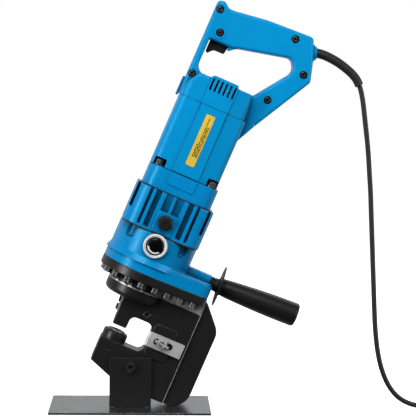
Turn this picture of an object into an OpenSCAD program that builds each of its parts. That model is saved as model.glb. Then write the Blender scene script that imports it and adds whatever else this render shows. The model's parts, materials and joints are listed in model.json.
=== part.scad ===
// Electro-hydraulic hole punch standing on a steel base plate.
// World frame: origin at the bottom centre of the base plate, X right, Y to the back, Z up.
// Tool frame: origin on the punch axis at the top of the die boss, Z up the leaning tool.

/* [Stance] */
// Lean of the tool towards +X, degrees from upright
lean = 23; // [22:0.5:24]
// Place of the die boss along X
tool_x = -19.4; // [-22:0.2:-17]
// Height of the die boss above the floor
tool_z = 105.7; // [105.5:0.1:108]

/* [Base] */
// Length of the base plate
plate_l = 220; // [210:5:240]
// Width of the base plate
plate_w = 130; // [120:5:160]
// Thickness of the base plate
plate_t = 3; // [2.5:0.1:3.1]
// Width of the upright side brackets
bracket_w = 57; // [54:1:60]
// Height of the brackets above the plate
bracket_h = 68; // [66:1:70]
// Thickness of the brackets
bracket_t = 5; // [4:0.5:6]

/* [Punch head] */
// Half thickness of the jaws
jaw_half = 19; // [18:0.5:20]
// Half thickness of the spine behind the jaws
spine_half = 15; // [13:0.5:16]
// Radius of the hydraulic cylinder in the frame
cylinder_r = 40.6; // [40:0.2:42]
// Bore radius of the hydraulic cylinder
bore_r = 28; // [26:0.5:30]
// Radius of the punch, for a 13 mm hole
punch_r = 6.5; // [5:0.25:6.5]
// Stroke of the punch
stroke = 14; // [12:0.5:14]
// Radius of the piston rod and of the punch nut
rod_r = 8.1; // [7.9:0.1:8.1]
// Depth of the throat behind the punch axis
throat_back = 43; // [42:0.5:44]
// Radius of the bolted flange
flange_r = 58.5; // [57:0.5:60]

/* [Pump and gears] */
// Radius of the pump housing
pump_r = 56.7; // [55:0.1:57]
// Half width of the ribbed gear case
case_half = 56.4; // [55:0.2:58]
// Teeth on the motor pinion
pinion_teeth = 12; // [12:1:12]
// Teeth on the drive gear
gear_teeth = 40; // [40:1:40]
// Gear module
gear_module = 1; // [1:1:1]

/* [Motor] */
// Half width of the fan housing
fan_half = 50.3; // [49:0.1:51]
// Left half width of the motor housing
motor_left = 50.6; // [50:0.1:51]
// Right half width of the motor housing
motor_right = 46.2; // [45:0.1:47]
// Half depth of the motor housing
motor_deep = 47; // [46:0.5:48]

/* [Handle] */
// Half thickness of the hand grip
grip_half = 20; // [18:0.5:22]
// Travel of the trigger when it is squeezed
trigger_travel = 6; // [4:0.5:6]

/* [Mains cord] */
// Diameter of the mains cord
cord_d = 7; // [6.5:0.1:7.5]
// Mean radius of the stored coil
coil_r = 41; // [38:1:44]

/* [Hidden] */
$fn = 64;

// Running clearance round shafts, pins and the piston
fit = 0.05;
// Gap between separate bodies that do not touch
gap = 0.4;

// Heights in the tool frame, from the die boss up
throat_floor = -12.8;
throat_top = 29;
nose_z = 12.4;
cylinder_z = 50;
ledge_z = 66.5;
flange_z = 80;
joint_z = 92;
pump_flange_top = 111;
pump_top = 147;
case_z = 147.8;
case_top = 203.5;
fan_top = 234;
cover_z = 334;
cover_top = 370.5;
piston_recess_top = 84;

// Outline of the flange: a round end on the axis and a narrower squared end
nose_x = 80;
nose_y = 20;
nose_r = 16;
bolt_inset = 9.5;

// The pump shaft stands beside the motor shaft, at the distance of the two gears
shaft_x = gear_module * (pinion_teeth + gear_teeth) / 2;
gear_z = 170;
gear_w = 9;

// Side handle
grip_tilt = 2.5;
side_x = 93;
side_z = 111.8;

// Gauge plate and its screw
gauge_x0 = 41;
gauge_t = 2.6;
gauge_x1 = 93.5;
gauge_z0 = 0;
gauge_z1 = 20.5;
gauge_screw = [63.1, 10.3];
pad_out = 2;

// Stem of the trigger
stem_x = -22;
stem_r = 3;

// Cord: where the handle lets it out, and its stretch down to the floor and along it
gland_edge = [93, 457];
gland_tilt = 21;
gland_r = 6.9;
coil_x = 464;
coil_y = 12;
coil_w = 3 * cord_d;
coil_h = 2 * cord_d;
cord_route = [
    [244, 0, 490], [253, 0, 489.5], [262, 0, 487], [271, 0, 483], [280, 0, 478],
    [288, 0, 472.5], [295, 0, 467], [301.5, 0, 461], [307, 0, 454], [311, 0, 446],
    [314, 0, 436], [316.5, 0, 423], [318.5, 0, 408], [320.5, 0, 392], [322.5, 0, 376],
    [324.5, 0, 358], [326, 0, 340], [327.5, 0, 320], [329, 0, 300], [330, 0, 280],
    [331, 0, 260], [332, 0, 240], [333, 0, 220], [334, 0, 200], [335, 0, 180],
    [336, 0, 160], [337, 0, 140], [338, 0, 122], [339.5, 0, 104], [341.5, 0, 87],
    [344.5, 0, 70], [349, 0, 53], [355, 0, 38], [363, 0, 24.5], [373, -0.5, 14],
    [385, -2, 7], [398, -5, 3.7], [411, -10, 3.6], [422.5, -17, 3.6],
    [433, -25, 3.6]
];

// ---------- helpers ----------

// Carries a shape from the tool frame into the world
module tool()
    translate([tool_x, 0, tool_z])
        rotate([0, lean, 0])
            children();

// Extrudes an XZ outline between two depths
module slab(y0, y1)
    translate([0, y1, 0])
        rotate([90, 0, 0])
            linear_extrude(y1 - y0)
                children();

// Cylinder along Y between two depths, its axis at a place in the XZ plane
module pin_y(place, r, y0, y1, sides = 48)
    translate([place[0], y1, place[1]])
        rotate([90, 0, 0])
            cylinder(r = r, h = y1 - y0, $fn = sides);

// Upright cylinder between two heights
module post(r, z0, z1, x = 0, y = 0, sides = 64)
    translate([x, y, z0])
        cylinder(r = r, h = z1 - z0, $fn = sides);

// Upright tube between two heights
module tube(r_in, r_out, z0, z1, x = 0)
    difference() {
        post(r_out, z0, z1, x);
        post(r_in, z0 - 1, z1 + 1, x);
    }

// Box given by its lowest and highest corners
module block(a, b)
    translate(a)
        cube(b - a);

// Rectangle with round corners
module round_rect(x0, x1, y0, y1, r) {
    translate([x0 + r, y0])
        square([x1 - x0 - 2 * r, y1 - y0]);
    translate([x0, y0 + r])
        square([x1 - x0, y1 - y0 - 2 * r]);
    for (x = [x0 + r, x1 - r], y = [y0 + r, y1 - r])
        translate([x, y])
            circle(r = r, $fn = 40);
}

function unit(v) = v / norm(v);

// Arc that rounds corner b between its neighbours a and c; b[2] is its radius
function corner(a, b, c, steps = 6) =
    let (p = [b[0], b[1]],
         u = unit([a[0], a[1]] - p),
         v = unit([c[0], c[1]] - p),
         half = acos(u * v) / 2,
         middle = p + unit(u + v) * b[2] / sin(half),
         s = p + u * b[2] / tan(half) - middle,
         e = p + v * b[2] / tan(half) - middle,
         a0 = atan2(s[1], s[0]),
         turn = (atan2(e[1], e[0]) - a0 + 540) % 360 - 180)
    [for (k = [0 : steps]) middle + b[2] * [cos(a0 + turn * k / steps), sin(a0 + turn * k / steps)]];

// Outline through corners [x, y, radius]; a radius of 0 keeps a sharp corner
module outline(corners) {
    n = len(corners);
    polygon([
        for (i = [0 : n - 1])
            let (b = corners[i])
            each (b[2] == 0 ? [[b[0], b[1]]] : corner(corners[(i + n - 1) % n], b, corners[(i + 1) % n]))
    ]);
}

// Direction square to the straight sides of the flange
function flange_normal() =
    let (base = atan2(nose_y, nose_x),
         a = base + acos((flange_r - nose_r) / norm([nose_x, nose_y])))
    [cos(a), sin(a)];

// Outline of the flange, grown by a margin
module flange_outline(grow = 0) {
    n = flange_normal();
    big = flange_r + grow;
    small = nose_r + grow;
    circle(r = big, $fn = 120);
    for (s = [-1, 1])
        translate([nose_x, s * nose_y])
            circle(r = small, $fn = 48);
    polygon([
        [big * n[0], big * n[1]],
        [nose_x + small * n[0], nose_y + small * n[1]],
        [nose_x + small, nose_y],
        [nose_x + small, -nose_y],
        [nose_x + small * n[0], -nose_y - small * n[1]],
        [big * n[0], -big * n[1]]
    ]);
}

// Places of the flange bolts: spaced round the arc, then along both straight sides
arc_start = 84;
arc_bolts = 4;
function bolt_places() =
    let (n = flange_normal(),
         r = flange_r - bolt_inset,
         a = r * n,
         b = [nose_x, nose_y] + (nose_r - bolt_inset) * n)
    concat(
        [[-r, 0]],
        [for (s = [-1, 1], k = [0 : arc_bolts - 1])
            let (t = arc_start + k * (180 - arc_start) / arc_bolts)
            [r * cos(t), s * r * sin(t)]],
        [for (s = [-1, 1], f = [0.17, 0.44, 0.72, 1])
            let (p = a + f * (b - a))
            [p[0], s * p[1]]]
    );

// Socket head cap screw: head down, shank up, under-head face at the origin
module cap_screw(d, shank) {
    difference() {
        translate([0, 0, -d])
            cylinder(r = 0.8 * d, h = d, $fn = 32);
        translate([0, 0, -d - 1])
            cylinder(r = 0.45 * d, h = 0.5 * d + 1, $fn = 6);
    }
    cylinder(r = d / 2, h = shank, $fn = 24);
}

// Cap screw along Y, its head towards the front, its under-head face at depth y
module front_screw(place, d, shank, y)
    translate([place[0], y, place[1]])
        rotate([-90, 0, 0])
            cap_screw(d, shank);

// Spur gear with slim straight-sided teeth; a tooth stands at angle "turn"
module spur(teeth, width, turn) {
    r = gear_module * teeth / 2;
    root = r - 1.2 * gear_module;
    tip = r + 0.85 * gear_module;
    linear_extrude(width)
        polygon([
            for (i = [0 : teeth - 1])
                let (a = turn + i * 360 / teeth,
                     w = 90 / teeth)
                each [
                    root * [cos(a - 1.45 * w), sin(a - 1.45 * w)],
                    root * [cos(a - 1.15 * w), sin(a - 1.15 * w)],
                    tip * [cos(a - 0.4 * w), sin(a - 0.4 * w)],
                    tip * [cos(a + 0.4 * w), sin(a + 0.4 * w)],
                    root * [cos(a + 1.15 * w), sin(a + 1.15 * w)],
                    root * [cos(a + 1.45 * w), sin(a + 1.45 * w)]
                ]
        ]);
}

// ---------- stand ----------

module base_plate()
    color("dimgray")
        translate([-plate_l / 2, -plate_w / 2, 0])
            cube([plate_l, plate_w, plate_t]);

// Upright plate on one side of the jaw, with the screw's hole
bracket_screw = [36.2, -35.4];
module bracket(side)
    difference() {
        translate([-bracket_w / 2, side > 0 ? jaw_half : -jaw_half - bracket_t, plate_t])
            cube([bracket_w, bracket_t, bracket_h]);
        tool()
            pin_y(bracket_screw, 4, -jaw_half - bracket_t - 1, jaw_half + bracket_t + 1);
    }

module bracket_front()
    color("#1c1c1e")
        bracket(-1);

module bracket_rear()
    color("#1c1c1e")
        bracket(1);

// One screw from each side into the frame
module bracket_screws()
    color("#202022")
        tool()
            for (s = [0, 180])
                translate([bracket_screw[0], 0, bracket_screw[1]])
                    rotate([0, 0, s])
                        front_screw([0, 0], 8, bracket_t + 9, -jaw_half - bracket_t);

// ---------- punch head ----------

// Side profile of both jaws and the throat between them
module jaw_profile()
    outline([
        [-18, -48, 1], [15, -59.5, 3], [32, -65.5, 8], [97.5, -65.5, 0],
        [97.5, ledge_z, 0], [-10, ledge_z, 0], [-10, nose_z, 1],
        [10, nose_z, 1], [10, throat_top, 8], [throat_back, throat_top, 9],
        [throat_back, throat_floor, 10], [17, throat_floor, 0], [-18, throat_floor, 0]
    ]);

// Side profile of the spine behind the seam
module spine_profile()
    outline([
        [90, -65.5, 0], [128, -65.5, 26], [128, 54, 22], [102.5, 82, 3], [98.5, 85.5, 1],
        [97.5, 84, 0], [97.5, 78, 0], [90, 78, 0]
    ]);

// Round cylinder body with a rounded lower edge
module cylinder_body() {
    round_r = 8;
    rotate_extrude($fn = 120)
        difference() {
            translate([0, cylinder_z])
                square([cylinder_r, ledge_z - cylinder_z]);
            difference() {
                translate([cylinder_r - round_r, cylinder_z - 1])
                    square([round_r + 1, round_r + 1]);
                translate([cylinder_r - round_r, cylinder_z + round_r])
                    circle(r = round_r, $fn = 48);
            }
        }
}

// Neck under the flange, with a spot face round every bolt
module neck()
    difference() {
        union() {
            post(cylinder_r, ledge_z, flange_z, sides = 120);
            block([0, -jaw_half + 2, ledge_z - 0.5], [97.5, jaw_half - 2, flange_z]);
        }
        for (p = bolt_places())
            post(10, ledge_z, flange_z, p[0], p[1], 40);
    }

// Round boss that holds the die, tapered at its top
die_boss_r = 17.5;
die_boss_top_r = 15.6;
die_boss_taper = 6;

module c_frame()
    color("#1a1a1c")
        tool()
            difference() {
                union() {
                    slab(-jaw_half, jaw_half)
                        jaw_profile();
                    slab(-spine_half, spine_half)
                        spine_profile();
                    cylinder_body();
                    neck();
                    translate([0, 0, flange_z])
                        linear_extrude(joint_z - flange_z)
                            flange_outline();
                    translate([0, 0, throat_floor - 1])
                        cylinder(r = die_boss_r, h = 1 - throat_floor - die_boss_taper);
                    translate([0, 0, -die_boss_taper])
                        cylinder(r1 = die_boss_r, r2 = die_boss_top_r, h = die_boss_taper);
                    for (y = [-jaw_half - pad_out, jaw_half - 1])
                        slab(y, y + pad_out + 1)
                            round_rect(44.6, 78.6, -14.5, 33.6, 7);
                }
                frame_bores();
            }

// Everything bored or cut into the frame
module frame_bores() {
    // Hydraulic cylinder, rod bore, punch hole
    post(bore_r, 56, joint_z + 1, sides = 96);
    post(rod_r + fit, 22, 57);
    post(punch_r + fit, nose_z - 1, 23);
    // Stripper seat
    post(8.6, nose_z - 1, nose_z + 3);
    // Die seat and slug hole
    post(12, -32, 1);
    post(8.5, -70, -31);
    // Window behind the access plate
    block([-11, -5, 27], [-6, 5, 46]);
    // Set screw, plug screw, gauge screw, bracket screws
    pin_y([-0.5, -24.6], 4, -jaw_half - 1, -11.5);
    pin_y([29, 38.5], 4, -jaw_half - 1, -8);
    pin_y(gauge_screw, 3, -jaw_half - pad_out - 1, -7);
    pin_y(bracket_screw, 4, -jaw_half - 1, -9);
    pin_y(bracket_screw, 4, 9, jaw_half + 1);
    // Access plate screws
    for (z = [31.5, 42.5])
        translate([-10.5, 8, z])
            rotate([0, 90, 0])
                cylinder(r = 1.5, h = 6, $fn = 24);
    for (z = [31.5, 42.5])
        translate([-10.5, -8, z])
            rotate([0, 90, 0])
                cylinder(r = 1.5, h = 6, $fn = 24);
    // Flange bolts
    for (p = bolt_places())
        post(4, flange_z - 1, joint_z + 1, p[0], p[1], 24);
}

module die()
    color("#3a3a3c")
        tool()
            difference() {
                union() {
                    post(12, -32, -0.2);
                    translate([0, 0, -0.2])
                        cylinder(r1 = 12, r2 = 11.4, h = 2);
                }
                post(punch_r + 0.4, -14, 3);
                post(8.5, -33, -13.9);
            }

module die_set_screw()
    color("#2a2a2c")
        tool()
            difference() {
                pin_y([-0.5, -24.6], 4, -jaw_half + 0.8, -12.05);
                pin_y([-0.5, -24.6], 2.3, -jaw_half, -jaw_half + 4, 6);
            }

module jaw_plug_screw()
    color("#2a2a2c")
        tool()
            difference() {
                union() {
                    pin_y([29, 38.5], 4, -jaw_half, -8);
                    pin_y([29, 38.5], 5.6, -jaw_half - 1.6, -jaw_half);
                }
                pin_y([29, 38.5], 2.3, -jaw_half - 2, -jaw_half + 3, 6);
            }

module stripper()
    color("#303032")
        tool()
            difference() {
                union() {
                    post(8.6, nose_z - 1, nose_z + 3);
                    block([-9.6, -15, nose_z - 3.2], [9.6, 15, nose_z]);
                }
                post(punch_r + fit, nose_z - 4, nose_z + 5);
            }

module punch()
    color("#4a4a4e")
        tool() {
            post(punch_r, 10, 44);
            post(7.2, 44, 48);
        }

module punch_nut()
    color("#55555a")
        tool()
            difference() {
                post(rod_r, 38, 50);
                post(punch_r, 37, 44.5);
                post(7.2, 44, 51);
            }

module piston()
    color("#8a8a90")
        tool()
            difference() {
                union() {
                    post(7.2, 48, 50.5);
                    post(rod_r, 50, 73);
                    post(bore_r - fit, 72, 88, sides = 96);
                }
                // Recess for the return spring
                tube(11, 20, 71, piston_recess_top);
                // Groove for the seal
                tube(bore_r - 3, bore_r + 1, 78, 82);
            }

module piston_seal()
    color("#101010")
        tool()
            tube(bore_r - 3, bore_r - fit, 78, 82);

// Return spring under the piston, drawn at its closed length
spring_turns = 3.6;
spring_steps = 72;
module return_spring()
    color("#9a9aa0")
        tool()
            sweep(
                [for (k = [0 : spring_steps])
                    let (
                        a = 360 * spring_turns * k / spring_steps,
                        rise = piston_recess_top - stroke - 60.2
                    )
                    [15.5 * cos(a), 15.5 * sin(a), 57.8 + rise * k / spring_steps]],
                1.5, 1.5, 8, [0, 0, 1]);

module access_plate()
    color("#b8b8bc")
        tool()
            difference() {
                block([-12, -12, 27], [-10, 12, 47]);
                for (y = [-8, 8], z = [31.5, 42.5])
                    translate([-13, y, z])
                        rotate([0, 90, 0])
                            cylinder(r = 1.5, h = 4, $fn = 24);
            }

module access_plate_screws()
    color("#18181a")
        tool()
            for (y = [-8, 8], z = [31.5, 42.5])
                translate([-12, y, z])
                    rotate([0, 90, 0]) {
                        cylinder(r = 1.5, h = 7, $fn = 24);
                        difference() {
                            translate([0, 0, -2.6])
                                cylinder(r = 3.4, h = 2.6, $fn = 32);
                            translate([0, 0, -3])
                                cylinder(r = 1.3, h = 1.8, $fn = 6);
                        }
                    }

// Edge-distance gauge: a slotted flat bar that slides on the pad beside the throat
gauge_y = -jaw_half - pad_out - gap;
module gauge_plate()
    color("#b9babd")
        tool()
            difference() {
                // Bar with a bevelled end where it meets the work
                translate([0, 0, gauge_z0])
                    linear_extrude(gauge_z1 - gauge_z0)
                        polygon([
                            [gauge_x0, gauge_y], [gauge_x1, gauge_y], [gauge_x1, gauge_y - gauge_t],
                            [gauge_x0 + 2.6, gauge_y - gauge_t], [gauge_x0, gauge_y - 0.8]
                        ]);
                slab(gauge_y - 4, gauge_y + 1)
                    round_rect(51.1, 78.7, gauge_screw[1] - 4.8, gauge_screw[1] + 4.8, 4.7);
            }

// Clamp screw with a washer collar and a cross pin to turn it by
module gauge_clamp_screw() {
    face = gauge_y - gauge_t - gap;
    color("#8d8d92")
        tool() {
            pin_y(gauge_screw, 3 - fit, face - 1, -8);
            pin_y(gauge_screw, 7.4, face - 1.6, face);
            difference() {
                pin_y(gauge_screw, 5.2, face - 8, face - 1.6);
                pin_y(gauge_screw, 2.2, face - 9, face - 5, 6);
            }
            translate([gauge_screw[0], face - 4.6, gauge_screw[1]])
                rotate([0, 90 + 8, 0])
                    cylinder(r = 1.9, h = 21, center = true, $fn = 24);
        }
}

module flange_bolts()
    color("#151517")
        tool()
            for (p = bolt_places())
                translate([p[0], p[1], flange_z])
                    cap_screw(8, 22);

// ---------- pump ----------

module pump_housing()
    color("#0a8bd0")
        tool()
            difference() {
                union() {
                    translate([0, 0, joint_z])
                        linear_extrude(pump_flange_top - joint_z - 2)
                            flange_outline(-0.3);
                    translate([0, 0, pump_flange_top - 2.01])
                        linear_extrude(2.01)
                            flange_outline(-1.6);
                    post(pump_r, pump_flange_top - 1, pump_top, sides = 120);
                    side_boss();
                    sight_glass_boss();
                    pin_y([0, 128], 9, 40, pump_r + 1);
                }
                // Oil chamber
                post(50, 104, pump_top + 1, sides = 96);
                // Sight glass, release valve, side handle stud
                pin_y([0, 132.8], 13, -pump_r - 3, -40);
                pin_y([0, 128], 5, 40, pump_r + 3);
                translate([side_x, 0, side_z])
                    rotate([0, 90 - grip_tilt, 0]) {
                        translate([0, 0, -26])
                            cylinder(r = 5, h = 40, $fn = 32);
                        translate([0, 0, -1.6])
                            cylinder(r = 9.8, h = 20);
                    }
                // Corner pockets for the case screws
                for (a = [48, 132, 228, 312])
                    post(8.3, 130, 150, 60 * cos(a), 60 * sin(a), 40);
                // Flange bolt holes
                for (p = bolt_places())
                    post(4, joint_z - 1, joint_z + 10.5, p[0], p[1], 24);
            }

// Boss round the sight glass, cut level with the top of the pump
module sight_glass_boss()
    intersection() {
        pin_y([0, 132.8], 18.4, -pump_r - 1, -40, 64);
        block([-20, -70, 100], [20, 0, pump_top]);
    }

// Boss that carries the side handle
module side_boss() {
    translate([30, 0, side_z - 0.8])
        rotate([0, 90, 0])
            cylinder(r = 11, h = 61);
    block([30, -11, joint_z + 2], [91, 11, side_z]);
}

module pump_block()
    color("#77777c")
        tool()
            difference() {
                translate([shaft_x - 8, 0, 104])
                    cylinder(r = 30, h = 24);
                post(12.6, 108, 130, shaft_x);
                for (s = [0, 180])
                    translate([shaft_x, 0, 118])
                        rotate([90, 0, s])
                            cylinder(r = 4, h = 40, $fn = 32);
            }

module pump_plungers()
    color("#a8a8ad")
        tool()
            for (s = [0, 180])
                translate([shaft_x, 0, 118])
                    rotate([90, 0, s])
                        translate([0, 0, 12.8])
                            cylinder(r = 4 - fit, h = 11, $fn = 32);

// Pump shaft with its eccentric
eccentric = 1.4;
module eccentric_shaft()
    color("#85858a")
        tool() {
            post(5, 110, 190, shaft_x);
            post(6.5, 113, 123, shaft_x + eccentric, 0, 48);
        }

module eccentric_bearing()
    color("#9c9ca2")
        tool()
            difference() {
                post(10.4, 113.5, 122.5, shaft_x + eccentric);
                post(6.5, 112, 124, shaft_x + eccentric, 0, 48);
            }

// Ball bearings of the pump shaft, held in webs of the gear case
module shaft_bearings()
    color("#a4a4aa")
        tool() {
            tube(5 + fit, 12.6, 124, 128, shaft_x);
            tube(5 + fit, 13, 153, 161, shaft_x);
            tube(5 + fit, 13, 183, 191, shaft_x);
        }

module oil_bladder()
    color("#1b1b1b")
        tool()
            translate([0, 0, 130.5])
                rotate_extrude($fn = 72)
                    difference() {
                        translate([40, 0])
                            square([8, 15]);
                        for (z = [3.5, 7.5, 11.5])
                            translate([48.6, z])
                                circle(r = 1.5, $fn = 16);
                    }

module sight_glass_bezel()
    color("#e6e6e8")
        tool()
            difference() {
                union() {
                    pin_y([0, 132.8], 16.5, -pump_r - 4, -pump_r - 1, 64);
                    pin_y([0, 132.8], 13, -pump_r - 1.5, -50.5, 64);
                }
                pin_y([0, 132.8], 12.6, -pump_r - 5, -pump_r - 1.5);
                pin_y([0, 132.8], 10, -pump_r - 3, -49);
            }

module sight_glass_lens()
    color("#0b0b0d")
        tool() {
            intersection() {
                pin_y([0, 132.8], 12.6, -pump_r - 8, -pump_r - 1.5);
                translate([0, 21 - pump_r - 6.5, 132.8])
                    sphere(r = 21, $fn = 64);
            }
        }

// Release valve: a slotted needle screw on the rear of the pump
module release_valve()
    color("#38383c")
        tool()
            difference() {
                union() {
                    pin_y([0, 128], 5 - fit, 50, pump_r + 2);
                    pin_y([0, 128], 8, pump_r + 1.4, pump_r + 8);
                }
                pin_y([0, 128], 3, pump_r + 4, pump_r + 9, 6);
            }

// ---------- side handle ----------

module on_side_handle()
    tool()
        translate([side_x, 0, side_z])
            rotate([0, 90 - grip_tilt, 0])
                children();

module side_handle_stud()
    color("#98989c")
        on_side_handle()
            translate([0, 0, -24])
                cylinder(r = 5, h = 80, $fn = 32);

// Moulded collar with the thin guard disc
module side_handle_guard()
    color("#161617")
        on_side_handle()
            difference() {
                union() {
                    translate([0, 0, -1.6])
                        cylinder(r = 9.4, h = 14);
                    translate([0, 0, 10.5])
                        rotate_extrude($fn = 96)
                            polygon([[0, 0], [14, 0], [28.5, 1.4], [28.5, 2.9], [14, 4.5], [0, 4.5]]);
                }
                translate([0, 0, -2])
                    cylinder(r = 5, h = 20, $fn = 32);
            }

// Radius of the grip at its root, its swelling, the rounding of its end, and its length
grip_root = 12.2;
grip_swell = 4.2;
grip_end = 4;
grip_l = 112;

// Barrel grip, swelling towards its rounded end
module side_handle_grip()
    color("#141415")
        on_side_handle()
            difference() {
                translate([0, 0, 15])
                    rotate_extrude($fn = 72)
                        polygon(concat(
                            [[0, 0], [grip_root, 0]],
                            [for (k = [1 : 10]) [grip_root + grip_swell * sin(9 * k), 10 * k]],
                            [for (k = [0 : 6])
                                [grip_root + grip_swell, grip_l]
                                    - grip_end * [1 - cos(15 * k), 1 - sin(15 * k)]],
                            [[0, grip_l]]
                        ));
                translate([0, 0, 10])
                    cylinder(r = 5, h = 46, $fn = 32);
            }

// ---------- gear case ----------

// Square casting section with large corner radii
module case_section(half, r)
    round_rect(-half, half, -half + 3, half - 3, r);

module case_gasket()
    color("#6b5a3a")
        tool()
            translate([0, 0, pump_top])
                linear_extrude(case_z - pump_top)
                    difference() {
                        circle(r = pump_r - 1, $fn = 96);
                        circle(r = 50, $fn = 72);
                    }

module gear_case()
    color("#0a84c8")
        tool()
            difference() {
                union() {
                    translate([0, 0, case_z])
                        linear_extrude(20.01)
                            case_section(case_half, 24);
                    translate([0, 0, case_z + 20])
                        linear_extrude(case_top - case_z - 20)
                            case_section(case_half - 1, 24);
                    // Boss for the filler plug
                    slab(-case_half + 1.5, -case_half + 8)
                        round_rect(-14.5, 14.5, 149.5, 178.6, 1.5);
                }
                case_ribs();
                // Oil space below, gear chamber above, and the web between them
                post(46, case_z - 1, 153, sides = 96);
                post(36, 163, 181, sides = 96);
                post(22.5, 163, 181, shaft_x);
                // Seats of the bearings and of the motor shaft
                post(13, 152, 161, shaft_x);
                post(5.5, 160, 164, shaft_x);
                post(13, 180, 191.5, shaft_x);
                post(11, 180, case_top + 1, sides = 48);
                pin_y([0, 166.4], 6, -case_half - 5, -30);
            }

// Grooves between the cooling ribs, front and rear, and a deep narrow one near each corner
module case_ribs() {
    for (s = [-1, 1]) {
        for (m = [-1, 1], g = [[19.5, 27.5], [32, 36.2]])
            slab(s < 0 ? -case_half - 5 : case_half - 10, s < 0 ? 10 - case_half : case_half + 5)
                round_rect(min(m * g[0], m * g[1]), max(m * g[0], m * g[1]), 152, case_top + 9, 2);
        for (m = [-1, 1])
            slab(s < 0 ? -case_half - 5 : case_half - 9, s < 0 ? 9 - case_half : case_half + 5)
                round_rect(m < 0 ? -13.2 : 1.6, m < 0 ? -1.6 : 13.2, 179.4, case_top + 9, 1.5);
        for (x = [[-54.4, -50.4], [48, 52]])
            block([x[0], s < 0 ? -60 : 26, 169], [x[1], s < 0 ? -26 : 60, case_top + 1]);
    }
}

module filler_plug()
    color("#1b1512")
        tool()
            difference() {
                union() {
                    pin_y([0, 166.4], 6, -case_half + 1, -42);
                    slab(-case_half - 6.5, -case_half + 1.5)
                        translate([0, 166.4])
                            circle(r = 10.6, $fn = 6);
                    pin_y([0, 166.4], 9.8, -case_half - 8, -case_half + 1.5, 40);
                }
                pin_y([0, 166.4], 2.4, -case_half - 9, -case_half - 5, 6);
            }

module drive_gear()
    color("#8f8f95")
        tool()
            translate([shaft_x, 0, gear_z])
                difference() {
                    spur(gear_teeth, gear_w, 180 + 180 / gear_teeth);
                    translate([0, 0, -1])
                        cylinder(r = 5, h = gear_w + 2, $fn = 32);
                }

module pinion()
    color("#96969c")
        tool()
            translate([0, 0, gear_z - 1])
                difference() {
                    spur(pinion_teeth, gear_w + 2, 0);
                    translate([0, 0, -1])
                        cylinder(r = 3.2, h = gear_w + 4, $fn = 32);
                }

// ---------- motor ----------

// Screws at the motor's foot, with their washers
foot_screws = [[-39, -38.5], [-39, 38.5], [38, -38.5], [38, 38.5]];
washer_r = 7.4;
washer_t = 1.4;

module fan_housing()
    color("#0d90d4")
        tool()
            difference() {
                union() {
                    translate([0, 0, case_top])
                        linear_extrude(fan_top - case_top)
                            round_rect(-fan_half - 0.5, fan_half - 0.5, -fan_half + 1.5, fan_half - 1.5, 20);
                    slab(-fan_half + 0.5, fan_half - 0.5)
                        round_rect(-20, 19, 216, fan_top, 2);
                }
                post(41, case_top + 6, fan_top + 1, sides = 96);
                post(11, case_top - 1, case_top + 7, sides = 48);
                for (p = foot_screws)
                    post(3.3 + fit, fan_top - 20, fan_top + 1, p[0], p[1], 24);
            }

module fan_housing_screws()
    color("#17171a")
        tool()
            for (p = foot_screws)
                translate([p[0], p[1], fan_top + washer_t])
                    mirror([0, 0, 1]) {
                        cap_screw(6.6, 14);
                        cylinder(r = washer_r, h = washer_t, $fn = 32);
                    }

// Section of the motor housing, notched for the four screws at its foot
notch_r = 8.2;
module motor_section_notched()
    difference() {
        motor_section(motor_right);
        for (p = foot_screws) {
            translate(p)
                circle(r = notch_r, $fn = 40);
            translate([p[0] - notch_r, p[1] < 0 ? p[1] - 20 : p[1]])
                square([2 * notch_r, 20]);
        }
    }

// Section of the motor: flat front, then a facet that falls back to the right corner
motor_corner = 12;
facet_back = 5.5;
module motor_section(right)
    outline([
        [-motor_left, -motor_deep, motor_corner], [19, -motor_deep, 0],
        [right, facet_back - motor_deep, motor_corner], [right, motor_deep - facet_back, motor_corner],
        [19, motor_deep, 0], [-motor_left, motor_deep, motor_corner]
    ]);

// Motor housing: flat front panel, and a gusset under the handle's tail
module motor_housing()
    color("#0a8ed4")
        tool()
            difference() {
                union() {
                    translate([0, 0, fan_top])
                        linear_extrude(14.01)
                            motor_section_notched();
                    translate([0, 0, fan_top + 14])
                        linear_extrude(cover_z - fan_top - 14)
                            motor_section(motor_right);
                    slab(-motor_deep - 1.4, motor_deep + 1.4)
                        translate([-20, fan_top])
                            square([39, cover_z - fan_top]);
                    gusset();
                }
                post(42, fan_top - 1, 322, sides = 96);
                // Seat of the rear bearing, and air slots round it
                post(11, 325.5, cover_z + 1, sides = 48);
                post(6, 321, 327, sides = 32);
                for (a = [45 : 90 : 315])
                    rotate([0, 0, a])
                        translate([24, -5, 321])
                            cube([10, 10, 14]);
            }

// Gusset that carries the line of the handle's tail down onto the motor housing
module gusset()
    slab(-grip_half - 1, grip_half + 1)
        outline([
            [40, 296, 0],
            [motor_right, 296, 0],
            [motor_right + 0.2, 306, 18],
            [59.8, cover_z, 0],
            [40, cover_z, 0]
        ]);

module spec_label()
    color("#e3c32e")
        tool()
            slab(-motor_deep - 2, -motor_deep - 1.4)
                round_rect(-7.2, 5.8, 249.6, 323.2, 1.6);

module stator()
    color("#6a6a70")
        tool()
            difference() {
                tube(29.5, 42, 246, 300);
                for (a = [0 : 60 : 300])
                    rotate([0, 0, a])
                        translate([38, 0, 245])
                            cylinder(r = 2.2, h = 56, $fn = 24);
            }

module armature_shaft()
    color("#9a9aa0")
        tool() {
            post(3.2, gear_z - 3, 196, sides = 32);
            post(4.5, 195, 333, sides = 32);
        }

// Laminated core with its winding slots
module armature_core()
    color("#7c5a3a")
        tool()
            translate([0, 0, 248])
                linear_extrude(50)
                    difference() {
                        circle(r = 28.5, $fn = 72);
                        circle(r = 4.5, $fn = 32);
                        for (a = [0 : 30 : 330])
                            rotate(a)
                                translate([24.5, 0])
                                    circle(r = 2.8, $fn = 20);
                    }

module commutator()
    color("#b87333")
        tool()
            tube(4.5, 12, 299, 318);

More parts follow.
